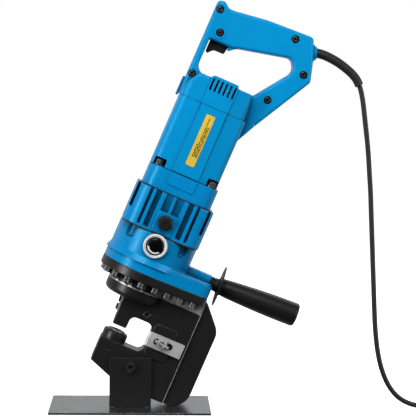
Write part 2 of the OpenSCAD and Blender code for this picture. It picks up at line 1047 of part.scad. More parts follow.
module fan()
    color("#2a2a2e")
        tool()
            translate([0, 0, 214])
                difference() {
                    union() {
                        cylinder(r = 37, h = 2.5, $fn = 72);
                        cylinder(r = 9, h = 14, $fn = 40);
                        for (a = [0 : 30 : 330])
                            rotate([0, 0, a])
                                translate([12, -0.9, 0])
                                    cube([24, 1.8, 13]);
                    }
                    translate([0, 0, -1])
                        cylinder(r = 4.5, h = 20, $fn = 32);
                }

module motor_bearings()
    color("#a4a4aa")
        tool() {
            tube(4.5 + fit, 11, 200, 208);
            tube(4.5 + fit, 11, 325.6, 333.6);
        }

module brush_holders()
    color("#a8843c")
        tool()
            for (s = [0, 180])
                rotate([0, 0, s])
                    difference() {
                        block([-5.5, -41.5, 300.5], [5.5, -20, 311.5]);
                        block([-3.5, -43, 302.5], [3.5, -10, 309.5]);
                    }

module brushes()
    color("#252525")
        tool()
            for (s = [0, 180])
                rotate([0, 0, s])
                    block([-3.4, -34, 302.6], [3.4, -12.4, 309.4]);

// ---------- handle ----------

// Outer line of the handle above the cover seam
handle_line = [
    [-52.8, cover_z, 0], [59.8, cover_z, 0], [106.4, 418, 5], [98.5, 445.5, 30], [86, 476, 5],
    [20, 472.6, 120], [-27, 466, 6], [-35.5, 466, 5], [-43.5, 472.5, 4], [-52.8, 471, 4]
];

// Hand opening
opening_line = [
    [-43.2, 370.5, 13], [-43.2, 418, 2], [-14.8, 418.2, 0.8], [-12.6, 413.6, 1.2], [-4, 420.6, 10],
    [70, 438, 9], [80.2, 423, 12], [42.5, 370.5, 9], [19.5, 370.5, 0], [17.5, 374.5, 1.5],
    [-17.5, 374.5, 1.5], [-19.5, 370.5, 0]
];

// Side view of the cover over the motor's end, rounded off beside the left screw
cover_line = [
    [-motor_left, cover_z, 0], [-48.2, 352, 14], [-37, cover_top, 6], [39, cover_top, 3], [44, cover_z, 0]
];

handle_screw_places = [
    [-45.9, 459.8], [-33.6, 430.7], [63.9, 463.7], [-46.3, 365.5], [93.3, 423.7], [62.2, 373.1]
];

// One half of the clamshell; side is -1 at the front and 1 at the rear
module handle_half(side) {
    y0 = side < 0 ? -grip_half : 0.05;
    y1 = side < 0 ? -0.05 : grip_half;
    difference() {
        union() {
            difference() {
                slab(y0, y1)
                    outline(handle_line);
                slab(y0 - 1, y1 + 1)
                    outline(opening_line);
            }
            // Cover over the rear end of the motor, with the louvred panel
            intersection() {
                translate([0, 0, cover_z])
                    linear_extrude(cover_top - cover_z)
                        motor_section(motor_right - 3);
                slab(side < 0 ? -60 : 0.05, side < 0 ? -0.05 : 60)
                    outline(cover_line);
            }
            slab(side < 0 ? -motor_deep - 1.4 : 0.05, side < 0 ? -0.05 : motor_deep + 1.4)
                outline([
                    [-20, cover_z, 0],
                    [19, cover_z, 0],
                    [19, 370.5, 0],
                    [17.5, 374.5, 1.5],
                    [-18.5, 374.5, 1.5],
                    [-20, 370.5, 0]
                ]);
        }
        handle_hollow();
    }
}

// First louvre, their spacing and their width
louvre_x = -16.6;
louvre_step = 6.4;
louvre_w = 2.8;

// Everything inside the handle and every hole through its wall
module handle_hollow() {
    // Over the motor's end
    post(38, cover_z - 1, 362, sides = 96);
    // Louvres
    for (k = [0 : 5], s = [-1, 1])
        slab(s < 0 ? -60 : 28, s < 0 ? -28 : 60)
            translate([louvre_x + louvre_step * k, 0])
                round_rect(-louvre_w / 2, louvre_w / 2, 353.5, 371, 1.3);
    // Switch chamber and its way to the cord
    block([-44, -11.5, 419.5], [-4, 11.5, 457]);
    block([-10, -6, 446], [84, 6, 457]);
    // Way down the left side to the motor
    block([-49, -8, 357], [-44.5, 8, 426]);
    // Trigger slot
    block([-42.2, -8.4, 410], [-15, 8.4, 424]);
    // Gland
    translate([gland_edge[0], 0, gland_edge[1]])
        rotate([0, 90 - gland_tilt, 0])
            translate([0, 0, -14])
                cylinder(r = gland_r, h = 30, $fn = 40);
    // Screws
    for (p = handle_screw_places)
        pin_y(p, 3.2, -grip_half + 6, 14, 24);
    for (p = handle_screw_places)
        pin_y(p, 5.6, -grip_half - 1, -grip_half + 6.4, 40);
}

// Stepped collar round the cord exit
module gland_collar()
    translate([gland_edge[0], 0, gland_edge[1]])
        rotate([0, 90 - gland_tilt, 0])
            difference() {
                union() {
                    translate([0, 0, -4])
                        cylinder(r = 11, h = 8.5);
                    translate([0, 0, 4])
                        cylinder(r = 9, h = 3);
                }
                translate([0, 0, -6])
                    cylinder(r = gland_r, h = 20, $fn = 40);
            }

module handle_shell_front()
    color("#0a8ed6")
        tool() {
            handle_half(-1);
            intersection() {
                gland_collar();
                block([60, -30, 430], [130, -0.05, 480]);
            }
        }

module handle_shell_rear()
    color("#0a8ed6")
        tool() {
            handle_half(1);
            intersection() {
                gland_collar();
                block([60, 0.05, 430], [130, 30, 480]);
            }
        }

module handle_screws()
    color("#141416")
        tool()
            for (p = handle_screw_places)
                front_screw(p, 6.2, 20, -grip_half + 6.4);

module side_badge()
    color("#06589a")
        tool()
            block([-56, -13, 331], [-52.8, 13, 358]);

// Trigger: a finger paddle whose stem slides straight up into the switch
module trigger()
    color("#1d1d20")
        tool() {
            slab(-7.8, 7.8)
                outline([
                    [-41.5, 420.5, 2], [-41.5, 402, 1.5], [-38.8, 398.8, 1], [-32, 406.6, 8],
                    [-17, 406.8, 1], [-15.5, 414.5, 2], [-16, 420.5, 1.5]
                ]);
            post(stem_r, 419, 430, stem_x, 0, 32);
        }

module switch_body()
    color("#26262a")
        tool()
            difference() {
                block([-30, -11, 427 + trigger_travel - 4], [-6, 11, 455]);
                post(stem_r + fit, 426, 440, stem_x, 0, 32);
            }

// ---------- cord ----------

// Rubber sleeve round the first stretch of the cord, tapering, in ring steps along the route
sleeve_rings = 10;
sleeve_r0 = 6.7;
sleeve_r1 = 5.9;

// Ring of points round a route point, square to the route
function ring(route, i, r, sides, side_dir) =
    let (n = len(route),
         t = unit(route[min(i + 1, n - 1)] - route[max(i - 1, 0)]),
         u = unit(side_dir - (side_dir * t) * t),
         v = cross(t, u))
    [for (k = [0 : sides - 1]) route[i] + r * (u * cos(360 * k / sides) + v * sin(360 * k / sides))];

// Tube swept along a route, its radius running from r0 to r1
module sweep(route, r0, r1, sides, side_dir = [0, 1, 0]) {
    n = len(route);
    points = [
        for (i = [0 : n - 1])
            each ring(route, i, r0 + (r1 - r0) * i / (n - 1), sides, side_dir)
    ];
    sides_faces = [
        for (i = [0 : n - 2], k = [0 : sides - 1])
            let (next = (k + 1) % sides)
            [i * sides + k, i * sides + next, (i + 1) * sides + next, (i + 1) * sides + k]
    ];
    start_face = [[for (k = [sides - 1 : -1 : 0]) k]];
    end_face = [[for (k = [0 : sides - 1]) (n - 1) * sides + k]];
    polyhedron(points, concat(sides_faces, start_face, end_face));
}

function slice(list, a, b) = [for (i = [a : b]) list[i]];

module strain_relief()
    color("#19191b")
        sweep(slice(cord_route, 0, sleeve_rings - 1), sleeve_r0, sleeve_r1, 16);

module power_cord()
    color("#1b1b1d")
        sweep(slice(cord_route, sleeve_rings - 1, len(cord_route) - 1), cord_d / 2, cord_d / 2, 10);

module cord_coil()
    color("#1b1b1d")
        translate([coil_x, coil_y, 0.1])
            rotate_extrude($fn = 72)
                round_rect(coil_r - coil_w / 2, coil_r + coil_w / 2, 0, coil_h, 3.5);

// Round two-pin mains plug lying behind the coil, in line with the side of its last turn
plug_place = [coil_x + coil_r - cord_d, coil_y + coil_r + coil_w / 2 + 0.5, 18];
module plug()
    color("#202022")
        translate(plug_place)
            rotate([-90, 0, 0]) {
                cylinder(r1 = 7, r2 = 9, h = 14, $fn = 40);
                translate([0, 0, 13.9])
                    cylinder(r1 = 12, r2 = 17.5, h = 14, $fn = 48);
                translate([0, 0, 27.8])
                    cylinder(r = 17.8, h = 13, $fn = 48);
                for (x = [-9.5, 9.5])
                    translate([x, 0, 40.7])
                        cylinder(r = 2.4, h = 19.1, $fn = 24);
            }

base_plate();
bracket_front();
bracket_rear();
bracket_screws();
c_frame();
die();
die_set_screw();
stripper();
jaw_plug_screw();
punch();
punch_nut();
piston();
piston_seal();
return_spring();
access_plate();
access_plate_screws();
gauge_plate();
gauge_clamp_screw();
flange_bolts();
pump_housing();
pump_block();
pump_plungers();
eccentric_shaft();
eccentric_bearing();
shaft_bearings();
oil_bladder();
sight_glass_bezel();
sight_glass_lens();
release_valve();
side_handle_stud();
side_handle_guard();
side_handle_grip();
case_gasket();
gear_case();
filler_plug();
drive_gear();
pinion();
fan_housing();
fan_housing_screws();
motor_housing();
spec_label();
stator();
armature_shaft();
armature_core();
commutator();
fan();
motor_bearings();
brush_holders();
brushes();
handle_shell_front();
handle_shell_rear();
handle_screws();
side_badge();
trigger();
switch_body();
strain_relief();
power_cord();
cord_coil();
plug();
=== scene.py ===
"""Looks of an electro-hydraulic hole punch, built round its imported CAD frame."""
import json
from math import acos, atan2, cos, hypot, pi, radians, sin, tan

import bmesh
import bpy
from mathutils import Matrix, Vector


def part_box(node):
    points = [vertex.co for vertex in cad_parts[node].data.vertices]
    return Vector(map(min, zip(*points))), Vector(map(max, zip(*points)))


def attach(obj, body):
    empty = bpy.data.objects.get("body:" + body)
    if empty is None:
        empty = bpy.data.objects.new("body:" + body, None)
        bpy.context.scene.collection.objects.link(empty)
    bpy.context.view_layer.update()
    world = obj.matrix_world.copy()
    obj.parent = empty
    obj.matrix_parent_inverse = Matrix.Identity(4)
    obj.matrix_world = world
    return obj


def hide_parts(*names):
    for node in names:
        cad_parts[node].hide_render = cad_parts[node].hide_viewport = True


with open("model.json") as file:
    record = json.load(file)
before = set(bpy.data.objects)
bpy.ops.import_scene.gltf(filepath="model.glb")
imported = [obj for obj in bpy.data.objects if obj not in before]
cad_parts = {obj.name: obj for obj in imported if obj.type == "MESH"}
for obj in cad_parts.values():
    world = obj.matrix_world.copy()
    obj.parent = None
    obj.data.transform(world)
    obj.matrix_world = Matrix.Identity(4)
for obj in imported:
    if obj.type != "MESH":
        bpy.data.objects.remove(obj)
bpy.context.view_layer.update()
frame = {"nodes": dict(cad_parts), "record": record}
SCENE = bpy.context.scene
NODES = frame["nodes"]
MM = 0.001

# The tool frame: origin on the punch axis at the top of the die boss, Z up the leaning tool, in mm
LEAN = radians(23)
TOOL = (
    Matrix.Translation((-0.0194, 0, 0.1057))
    @ Matrix.Rotation(LEAN, 4, "Y")
    @ Matrix.Scale(MM, 4)
)
WORLD = Matrix.Scale(MM, 4)
REAR = (0, 1, 0)
SMOOTH_ANGLE = radians(34)


# ---------- camera, light and floor ----------

def make_camera():
    """Camera of a product shot: level with the pump, a long lens, turned slightly right and down."""
    yaw, pitch, roll = 0.0367, 0.0687, 0.0106
    ahead = Vector((sin(yaw) * cos(pitch), cos(yaw) * cos(pitch), -sin(pitch)))
    right = Vector((cos(yaw), -sin(yaw), 0))
    up = right.cross(ahead)
    turned = right * cos(roll) + up * sin(roll)
    upright = up * cos(roll) - right * sin(roll)
    data = bpy.data.cameras.new("camera")
    data.lens = 142.3
    data.sensor_width = 36
    data.clip_end = 50
    camera = bpy.data.objects.new("camera", data)
    SCENE.collection.objects.link(camera)
    rotation = Matrix((turned, upright, -ahead)).transposed().to_4x4()
    camera.matrix_world = Matrix.Translation((0.0221, -2.2551, 0.4312)) @ rotation
    SCENE.camera = camera


def area_light(name, place, target, size, power):
    data = bpy.data.lights.new(name, "AREA")
    data.shape = "RECTANGLE"
    data.size, data.size_y = size
    data.energy = power
    lamp = bpy.data.objects.new(name, data)
    SCENE.collection.objects.link(lamp)
    away = Vector(place) - Vector(target)
    lamp.matrix_world = Matrix.Translation(place) @ away.to_track_quat("Z", "Y").to_matrix().to_4x4()


def add_node(tree, kind, **values):
    """A shader node with values for its sockets."""
    node = tree.nodes.new("ShaderNode" + kind)
    for name, value in values.items():
        node.inputs[name.replace("_", " ")].default_value = value
    return node


def make_light():
    """Soft studio light from the left and above, a dark room in front and a bright sweep behind."""
    middle = (0.05, 0, 0.3)
    area_light("strip_left", (-1.5, -1.3, 0.6), middle, (0.42, 1.7), 31)
    area_light("key_top", (-0.1, -1.7, 1.9), middle, (1.4, 1.2), 38)
    area_light("fill_right", (1.8, -1.0, 0.5), middle, (1.0, 1.6), 23)
    area_light("back_top", (0.6, 1.6, 1.5), middle, (1.6, 0.8), 12)
    world = bpy.data.worlds.new("studio")
    SCENE.world = world
    world.use_nodes = True
    tree = world.node_tree
    tree.nodes.clear()
    seen = add_node(tree, "Background", Color=(1, 1, 1, 1), Strength=1.0)
    coords = add_node(tree, "TexCoord")
    parts = add_node(tree, "SeparateXYZ")
    back = add_node(tree, "MapRange", From_Min=-0.3, From_Max=0.5, To_Min=0.04, To_Max=0.6)
    lit = add_node(tree, "Background", Color=(0.97, 0.985, 1, 1))
    path = add_node(tree, "LightPath")
    mix = add_node(tree, "MixShader")
    out = add_node(tree, "OutputWorld")
    for socket, into in (
        (coords.outputs["Generated"], parts.inputs[0]),
        (parts.outputs["Y"], back.inputs["Value"]),
        (back.outputs[0], lit.inputs["Strength"]),
        (path.outputs["Is Camera Ray"], mix.inputs[0]),
        (lit.outputs[0], mix.inputs[1]),
        (seen.outputs[0], mix.inputs[2]),
        (mix.outputs[0], out.inputs[0]),
    ):
        tree.links.new(socket, into)
    SCENE.view_settings.view_transform = "Standard"
    SCENE.view_settings.look = "None"


def make_floor():
    """Plain white floor, big enough to reach past every view."""
    bpy.ops.mesh.primitive_plane_add(size=30, location=(0, 0, -0.0002))
    floor = bpy.context.object
    floor.name = "floor"
    white = Nodes("floor_white")
    white.set(Base_Color=(0.86, 0.86, 0.86, 1), Roughness=0.9, Specular_IOR_Level=0.1)
    white.set(Emission_Color=(1, 1, 1, 1), Emission_Strength=0.9)
    floor.data.materials.append(white.material)
    floor.visible_glossy = False
    floor.visible_diffuse = False


# ---------- materials ----------

TONE_DRIFT = 0.05


class Nodes:
    """A material's node tree, with short calls for the nodes that the finishes share."""

    def __init__(self, name):
        self.name = name
        self.material = bpy.data.materials.new(name)
        self.material.use_nodes = True
        self.tree = self.material.node_tree
        self.shader = self.tree.nodes["Principled BSDF"]
        self.place = self.add("TexCoord").outputs["Object"]

    def add(self, kind, **values):
        return add_node(self.tree, kind, **values)

    def link(self, out, socket):
        self.tree.links.new(out, socket)

    def noise(self, scale, detail=3.0, stretch=None):
        """Noise at so many grains a metre, stretched along an axis where the finish is brushed."""
        node = self.add("TexNoise", Scale=scale, Detail=detail)
        place = self.place
        if stretch:
            mapping = self.add("Mapping", Scale=stretch, Rotation=(0, -LEAN, 0))
            self.link(place, mapping.inputs["Vector"])
            place = mapping.outputs[0]
        self.link(place, node.inputs["Vector"])
        return node.outputs["Fac"]

    def spread(self, value, low, high, from_low=0.3, from_high=0.7):
        """value carried onto the range from low to high."""
        node = self.add("MapRange", From_Min=from_low, From_Max=from_high, To_Min=low, To_Max=high)
        self.link(value, node.inputs["Value"])
        return node.outputs[0]

    def mix(self, factor, a, b):
        """Colour a where factor is 0 and b where it is 1; each is a socket or an RGB triple."""
        node = self.add("Mix")
        node.data_type = "RGBA"
        self.link(factor, node.inputs["Factor"])
        for socket, value in ((node.inputs[6], a), (node.inputs[7], b)):
            if isinstance(value, tuple):
                socket.default_value = (*value, 1)
            else:
                self.link(value, socket)
        return node.outputs[2]

    def eased_normal(self, radius):
        """The surface's normal, with the edges rounded off."""
        bevel = self.add("Bevel", Radius=radius)
        bevel.samples = 4
        return bevel.outputs[0]

    def worn_edges(self, radius, sharp=0.6):
        """1 along the edges of the shape, 0 on its faces."""
        dot = self.add("VectorMath")
        dot.operation = "DOT_PRODUCT"
        self.link(self.eased_normal(radius), dot.inputs[0])
        self.link(self.add("NewGeometry").outputs["Normal"], dot.inputs[1])
        return self.spread(dot.outputs["Value"], 1, 0, sharp, 0.995)

    def openness(self, reach):
        """1 on open faces, falling to 0 in narrow grooves and corners: the mask of the painted shade."""
        node = self.add("AmbientOcclusion", Distance=reach)
        node.samples = 6
        return self.spread(node.outputs["AO"], 0, 1, 0.35, 0.95)

    def bump(self, height, strength, distance, round_edges):
        """Surface relief over edges that a small radius softens."""
        node = self.add("Bump", Strength=strength, Distance=distance)
        self.link(height, node.inputs["Height"])
        self.link(self.eased_normal(round_edges), node.inputs["Normal"])
        self.link(node.outputs[0], self.shader.inputs["Normal"])

    def sum(self, operation, a, b=None):
        """One step of arithmetic on sockets or numbers."""
        node = self.add("Math")
        node.operation = operation
        for socket, value in zip(node.inputs, (a, b)):
            if isinstance(value, (int, float)):
                socket.default_value = value
            elif value is not None:
                self.link(value, socket)
        return node.outputs[0]

    def product(self, first, *others):
        for other in others:
            first = self.sum("MULTIPLY", first, other)
        return first

    def set(self, **values):
        for name, value in values.items():
            self.shader.inputs[name.replace("_", " ")].default_value = value


def paint(name, colour, roughness, grain, relief, wear=None, coat=0.0, shine=0.5, tint=None, painted_shade_reach=0.0):
    """Paint or moulded plastic: drifting tone, grain in the gloss, fine relief, edges worn to "wear", and
    painted shade that darkens grooves and corners.
    """
    n = Nodes(name)
    dark = tuple(c * (1 - TONE_DRIFT) for c in colour)
    light = tuple(min(1, c * (1 + TONE_DRIFT)) for c in colour)
    tone = n.mix(n.spread(n.noise(14, 2), 0, 1), dark, light)
    if wear:
        patches = n.spread(n.noise(90, 4), 0, 1, 0.35, 0.7)
        tone = n.mix(n.product(n.worn_edges(0.0007), patches), tone, wear)
    # painted shade: the colour falls to a fifth of itself in grooves and corners, following an ambient
    # occlusion mask
    if painted_shade_reach:
        tone = n.mix(n.openness(painted_shade_reach), tuple(0.2 * c for c in colour), tone)
    n.link(tone, n.shader.inputs["Base Color"])
    n.link(n.spread(n.noise(grain * 0.4, 4), roughness - 0.05, roughness + 0.07),
        n.shader.inputs["Roughness"])
    n.bump(n.noise(grain, 2), relief, 0.0002, 0.0004)
    n.set(Specular_IOR_Level=shine)
    if tint:
        n.set(Specular_Tint=(*tint, 1))
    if coat:
        n.set(Coat_Weight=coat, Coat_Roughness=0.12)
    return n


def metal(name, colour, roughness, brushed=None, relief=0.1, grain=900, metallic=1.0):
    """Bare or plated steel: brushed or ground lines, and faint stains."""
    n = Nodes(name)
    lines = n.noise(grain, 4, brushed or (1, 1, 1))
    tone = n.mix(n.spread(n.noise(60, 5), 0, 1), tuple(c * 0.75 for c in colour), colour)
    n.link(n.mix(n.spread(lines, 0, 0.35), tone, tuple(c * 0.6 for c in colour)),
        n.shader.inputs["Base Color"])
    n.link(n.spread(lines, roughness - 0.08, roughness + 0.12), n.shader.inputs["Roughness"])
    n.bump(lines, relief, 0.00008, 0.0003)
    n.set(Metallic=metallic)
    return n


def bare_steel_and_painted_highlight(n):
    """Leaves the neck under the flange as unpainted steel, and paints a highlight along the long edge of
    the jaw as a bright steel line.
    """
    away = Matrix.Rotation(-LEAN, 3, "Y") @ TOOL.translation
    mapping = n.add("Mapping", Rotation=(0, -LEAN, 0), Location=-away)
    n.link(n.place, mapping.inputs["Vector"])
    parts = n.add("SeparateXYZ")
    n.link(mapping.outputs[0], parts.inputs[0])
    x, y, z = parts.outputs
    depth = n.sum("ABSOLUTE", y)
    ledge = n.sum("MAXIMUM", n.sum("LESS_THAN", z, 0.0684), n.sum("GREATER_THAN", x, 0.031))
    neck = n.product(
        n.sum("GREATER_THAN", z, 0.0664), n.sum("LESS_THAN", z, 0.0799), n.sum("LESS_THAN", x, 0.0974),
        ledge)
    # painted highlight: a bright steel strip along the jaw's long rounded edge, where light catches it
    edge = n.product(
        n.sum("GREATER_THAN", x, 0.0964), n.sum("LESS_THAN", x, 0.0978),
        n.sum("GREATER_THAN", depth, 0.0153))
    # the neck is real unpainted steel; the jaw edge strip in the same mask is a painted highlight
    bare_and_highlight = n.sum("MAXIMUM", neck, edge)
    painted = n.shader.inputs["Base Color"].links[0].from_socket
    steel = n.mix(n.spread(n.noise(260, 4), 0, 1), (0.3, 0.3, 0.3), (0.62, 0.62, 0.62))
    n.link(n.mix(bare_and_highlight, painted, steel), n.shader.inputs["Base Color"])
    n.link(n.sum("MULTIPLY", bare_and_highlight, 0.55), n.shader.inputs["Metallic"])
    return n


def make_materials():
    """Every finish by the name of its slot in the record."""
    blue, blue_wear = (0.0006, 0.247, 0.55), (0.05, 0.4, 0.74)
    black = (0.0085, 0.0085, 0.0088)
    finishes = [
        # both blue finishes carry painted shade in their grooves and corners
        paint("blue_moulding", blue, 0.34, 1500, 0.08, blue_wear, 0, 0.4, tint=(0.2, 0.75, 1),
            painted_shade_reach=0.012),
        paint("blue_casting", (0.0006, 0.225, 0.53), 0.28, 700, 0.12, blue_wear, 0, 0.5,
            tint=(0.2, 0.75, 1), painted_shade_reach=0.03),
        paint("dark_blue", (0.001, 0.11, 0.36), 0.35, 1500, 0.1, shine=0.3),
        bare_steel_and_painted_highlight(paint("frame_finish", black, 0.34, 1100, 0.18, (0.09, 0.09, 0.09), shine=0.45)),
        paint("black_frame", black, 0.34, 1100, 0.18, (0.09, 0.09, 0.09), shine=0.45),
        paint("black_bracket", black, 0.42, 1400, 0.12, (0.04, 0.04, 0.04), shine=0.3),
        paint("black_screw", (0.012, 0.012, 0.012), 0.22, 2500, 0.08, (0.4, 0.4, 0.4), shine=0.9),
        paint("black_plastic", (0.0065, 0.0065, 0.0067), 0.42, 1800, 0.15, shine=0.25),
        paint("black_rubber", (0.009, 0.009, 0.0092), 0.5, 1200, 0.2, shine=0.4),
        paint("bezel_white", (0.74, 0.74, 0.75), 0.16, 900, 0.03, None, 0.6),
        paint("lens_black", (0.002, 0.002, 0.0022), 0.2, 600, 0.01, shine=0.12),
        paint("label_yellow", (0.66, 0.46, 0.05), 0.45, 1500, 0.05, shine=0.2),
        paint("plug_brown", (0.0062, 0.0050, 0.0046), 0.4, 1500, 0.2, shine=0.4),
        paint("gasket_brown", (0.05, 0.035, 0.02), 0.7, 1500, 0.3, shine=0.2),
        paint("carbon", (0.02, 0.02, 0.02), 0.6, 2500, 0.3),
        metal("base_steel", (0.23, 0.23, 0.23), 0.2, (1, 4, 4), 0.01, 60, 0.9),
        metal("tool_steel", (0.12, 0.12, 0.12), 0.34, (1, 1, 8), 0.1, 900, 0.6),
        metal("machined_steel", (0.62, 0.62, 0.62), 0.28, (1, 1, 8), 0.15, 900, 0.5),
        metal("bright_plate", (0.58, 0.58, 0.58), 0.36, (1, 9, 9), 0.12, 700, 0.35),
        metal("lamination", (0.3, 0.3, 0.31), 0.5, (1, 1, 30), 0.3),
        metal("copper", (0.62, 0.28, 0.14), 0.35, (1, 1, 6), 0.15),
        metal("brass", (0.66, 0.48, 0.2), 0.35, (6, 1, 1), 0.15),
    ]
    return {n.name: n.material for n in finishes}


# ---------- outlines, in mm ----------

def fillet(before, corner, after, r, steps):
    """Points of the arc that rounds a corner between its two neighbours."""
    here = Vector(corner)
    u = (Vector(before) - here).normalized()
    v = (Vector(after) - here).normalized()
    half = acos(max(-1, min(1, u.dot(v)))) / 2
    middle = here + (u + v).normalized() * (r / sin(half))
    s = here + u * (r / tan(half)) - middle
    e = here + v * (r / tan(half)) - middle
    start = atan2(s.y, s.x)
    turn = (atan2(e.y, e.x) - start + 3 * pi) % (2 * pi) - pi
    angles = [start + turn * k / steps for k in range(steps + 1)]
    return [(middle.x + r * cos(a), middle.y + r * sin(a)) for a in angles]


def rounded(corners, steps=6, closed=True):
    """Outline through corners: (x, y, radius) where an arc rounds it, (x, y) where it's sharp."""
    points = []
    for i, (x, y, *radius) in enumerate(corners):
        r = radius[0] if radius else 0
        if not r or not (closed or 0 < i < len(corners) - 1):
            points.append((x, y))
            continue
        after = corners[(i + 1) % len(corners)]
        points += fillet(corners[i - 1][:2], (x, y), after[:2], r, steps)
    return points


def box_outline(x0, x1, y0, y1, r=0.0, steps=8):
    """Rectangle with round corners; its ends come in any order."""
    x0, x1 = sorted((x0, x1))
    y0, y1 = sorted((y0, y1))
    return rounded([(x0, y0, r), (x1, y0, r), (x1, y1, r), (x0, y1, r)], steps)


def round_outline(r, x=0.0, y=0.0, steps=48):
    return [(x + r * cos(2 * pi * k / steps), y + r * sin(2 * pi * k / steps)) for k in range(steps)]


def knurled_outline(r, ridges, depth):
    """Round outline with straight ridges."""
    return [
        ((r - depth * (k % 2)) * cos(pi * k / ridges), (r - depth * (k % 2)) * sin(pi * k / ridges))
        for k in range(2 * ridges)
    ]


# ---------- mesh helpers ----------

def from_tool(axis, middle):
    """Carries an outline's plane, and the depth across it, into the tool frame."""
    rows = {
        "X": ((0, 0, 1, middle), (1, 0, 0, 0), (0, 1, 0, 0)),
        "Y": ((1, 0, 0, 0), (0, 0, -1, middle), (0, 1, 0, 0)),
        "Z": ((1, 0, 0, 0), (0, 1, 0, 0), (0, 0, 1, middle)),
    }[axis]
    return Matrix((*rows, (0, 0, 0, 1)))


def add_object(name, mesh):
    obj = bpy.data.objects.new(name, mesh)
    SCENE.collection.objects.link(obj)
    return obj


def mesh_of(bm, name):
    mesh = bpy.data.meshes.new(name)
    bm.to_mesh(mesh)
    bm.free()
    return mesh


def along(place, direction, space):
    """Stands a shape made along Z at a place of the space, pointing in a direction."""
    turn = Vector(direction).to_track_quat("Z", "Y").to_matrix().to_4x4()
    return space @ Matrix.Translation(place) @ turn


def clean(mesh):
    """Joins doubled points and turns the faces outwards."""
    bm = bmesh.new()
    bm.from_mesh(mesh)
    bmesh.ops.remove_doubles(bm, verts=bm.verts, dist=2e-6)
    bmesh.ops.dissolve_degenerate(bm, edges=bm.edges, dist=1e-6)
    bmesh.ops.recalc_face_normals(bm, faces=bm.faces)
    bm.to_mesh(mesh)
    bm.free()
    return mesh


def flatten(mesh):
    """Joins the faces of one plane, unless a joined face is too ragged to be drawn whole."""
    bm = bmesh.new()
    bm.from_mesh(mesh)
    bmesh.ops.dissolve_limit(bm, angle_limit=radians(0.15), verts=bm.verts, edges=bm.edges)
    whole = sum(face.calc_area() for face in bm.faces)
    drawn = 0
    for a, b, c in bm.calc_loop_triangles():
        drawn += (b.vert.co - a.vert.co).cross(c.vert.co - a.vert.co).length / 2
    if abs(drawn - whole) < 2e-5 * whole:
        bm.to_mesh(mesh)
    bm.free()


def evaluated_mesh(obj):
    bpy.context.view_layer.update()
    return bpy.data.meshes.new_from_object(obj.evaluated_get(bpy.context.evaluated_depsgraph_get()))


def solid(name, loops, low, high, edge=0.0, axis="Y", space=TOOL, rings=3):
    """Solid of outlines, holes included, between two depths along an axis, its edges rounded."""
    low, high = sorted((low, high))
    curve = bpy.data.curves.new(name, "CURVE")
    curve.dimensions = "2D"
    curve.fill_mode = "BOTH"
    curve.extrude = (high - low) / 2 - edge
    if edge:
        curve.bevel_depth = edge
        curve.bevel_resolution = rings
        curve.offset = -edge
    for loop in loops:
        spline = curve.splines.new("POLY")
        spline.points.add(len(loop) - 1)
        for point, (x, y) in zip(spline.points, loop):
            point.co = (x, y, 0, 1)
        spline.use_cyclic_u = True
    maker = add_object(name + "_outline", curve)
    mesh = evaluated_mesh(maker)
    bpy.data.objects.remove(maker)
    bpy.data.curves.remove(curve)
    mesh.transform(space @ from_tool(axis, (low + high) / 2))
    mesh.name = name
    return add_object(name, clean(mesh))


def turned(name, profile, place=(0, 0, 0), direction=(0, 0, 1), steps=48, space=TOOL):
    """Solid turned about a line: a (radius, height) profile from end to end of the line, or a loop."""
    bm = bmesh.new()
    rings = []
    for r, h in profile:
        if r <= 1e-6:
            rings.append([bm.verts.new((0, 0, h))] * steps)
        else:
            rings.append([bm.verts.new((x, y, h)) for x, y in round_outline(r, steps=steps)])
    for lower, upper in zip(rings, rings[1:]):
        for k in range(steps):
            m = (k + 1) % steps
            face = dict.fromkeys((lower[k], lower[m], upper[m], upper[k]))
            if len(face) > 2:
                bm.faces.new(tuple(face))
    for ring in (rings[0], rings[-1]):
        if ring[0] != ring[1] and profile[0] != profile[-1]:
            bm.faces.new(ring)
    mesh = mesh_of(bm, name)
    mesh.transform(along(place, direction, space))
    return add_object(name, clean(mesh))


def post(name, r, low, high, *line, **options):
    """Cylinder between two heights along a line."""
    return turned(name, [(0, low), (r, low), (r, high), (0, high)], *line, **options)


def lathe(name, corners, *line, rings=4, **options):
    """Solid turned about a line, from the corners of its profile."""
    return turned(name, rounded(corners, rings, closed=False), *line, **options)


def bake(obj):
    """Replaces the object's mesh with what its modifiers make of it."""
    mesh = evaluated_mesh(obj)
    old = obj.data
    obj.modifiers.clear()
    obj.data = mesh
    if old.users == 0:
        bpy.data.meshes.remove(old)
    return obj


def combine(obj, others, operation):
    for other in others:
        step = obj.modifiers.new("combine", "BOOLEAN")
        step.operation = operation
        step.solver = "EXACT"
        step.object = other
        bake(obj)
        bpy.data.objects.remove(other)
        clean(obj.data)
    return obj


def join(obj, *others):
    return combine(obj, others, "UNION")


def cut(obj, *others):
    return combine(obj, others, "DIFFERENCE")


def common(obj, *others):
    return combine(obj, others, "INTERSECT")


def trim(obj, place, direction, space=TOOL):
    """Cuts away what lies beyond a plane of the tool frame."""
    size = 1200
    bm = bmesh.new()
    bmesh.ops.create_cube(bm, size=size)
    bmesh.ops.translate(bm, verts=bm.verts, vec=(0, 0, size / 2))
    mesh = mesh_of(bm, "beyond")
    mesh.transform(along(place, direction, space))
    return cut(obj, add_object("beyond", mesh))


def copy_of(obj, name):
    return add_object(name, obj.data.copy())


def smooth(obj):
    """Smooth shading that keeps sharp edges and flat faces."""
    obj.data.shade_smooth()
    obj.data.set_sharp_from_angle(angle=SMOOTH_ANGLE)
    normals = obj.modifiers.new("flat_faces", "WEIGHTED_NORMAL")
    normals.keep_sharp = True
    normals.weight = 90
    return obj


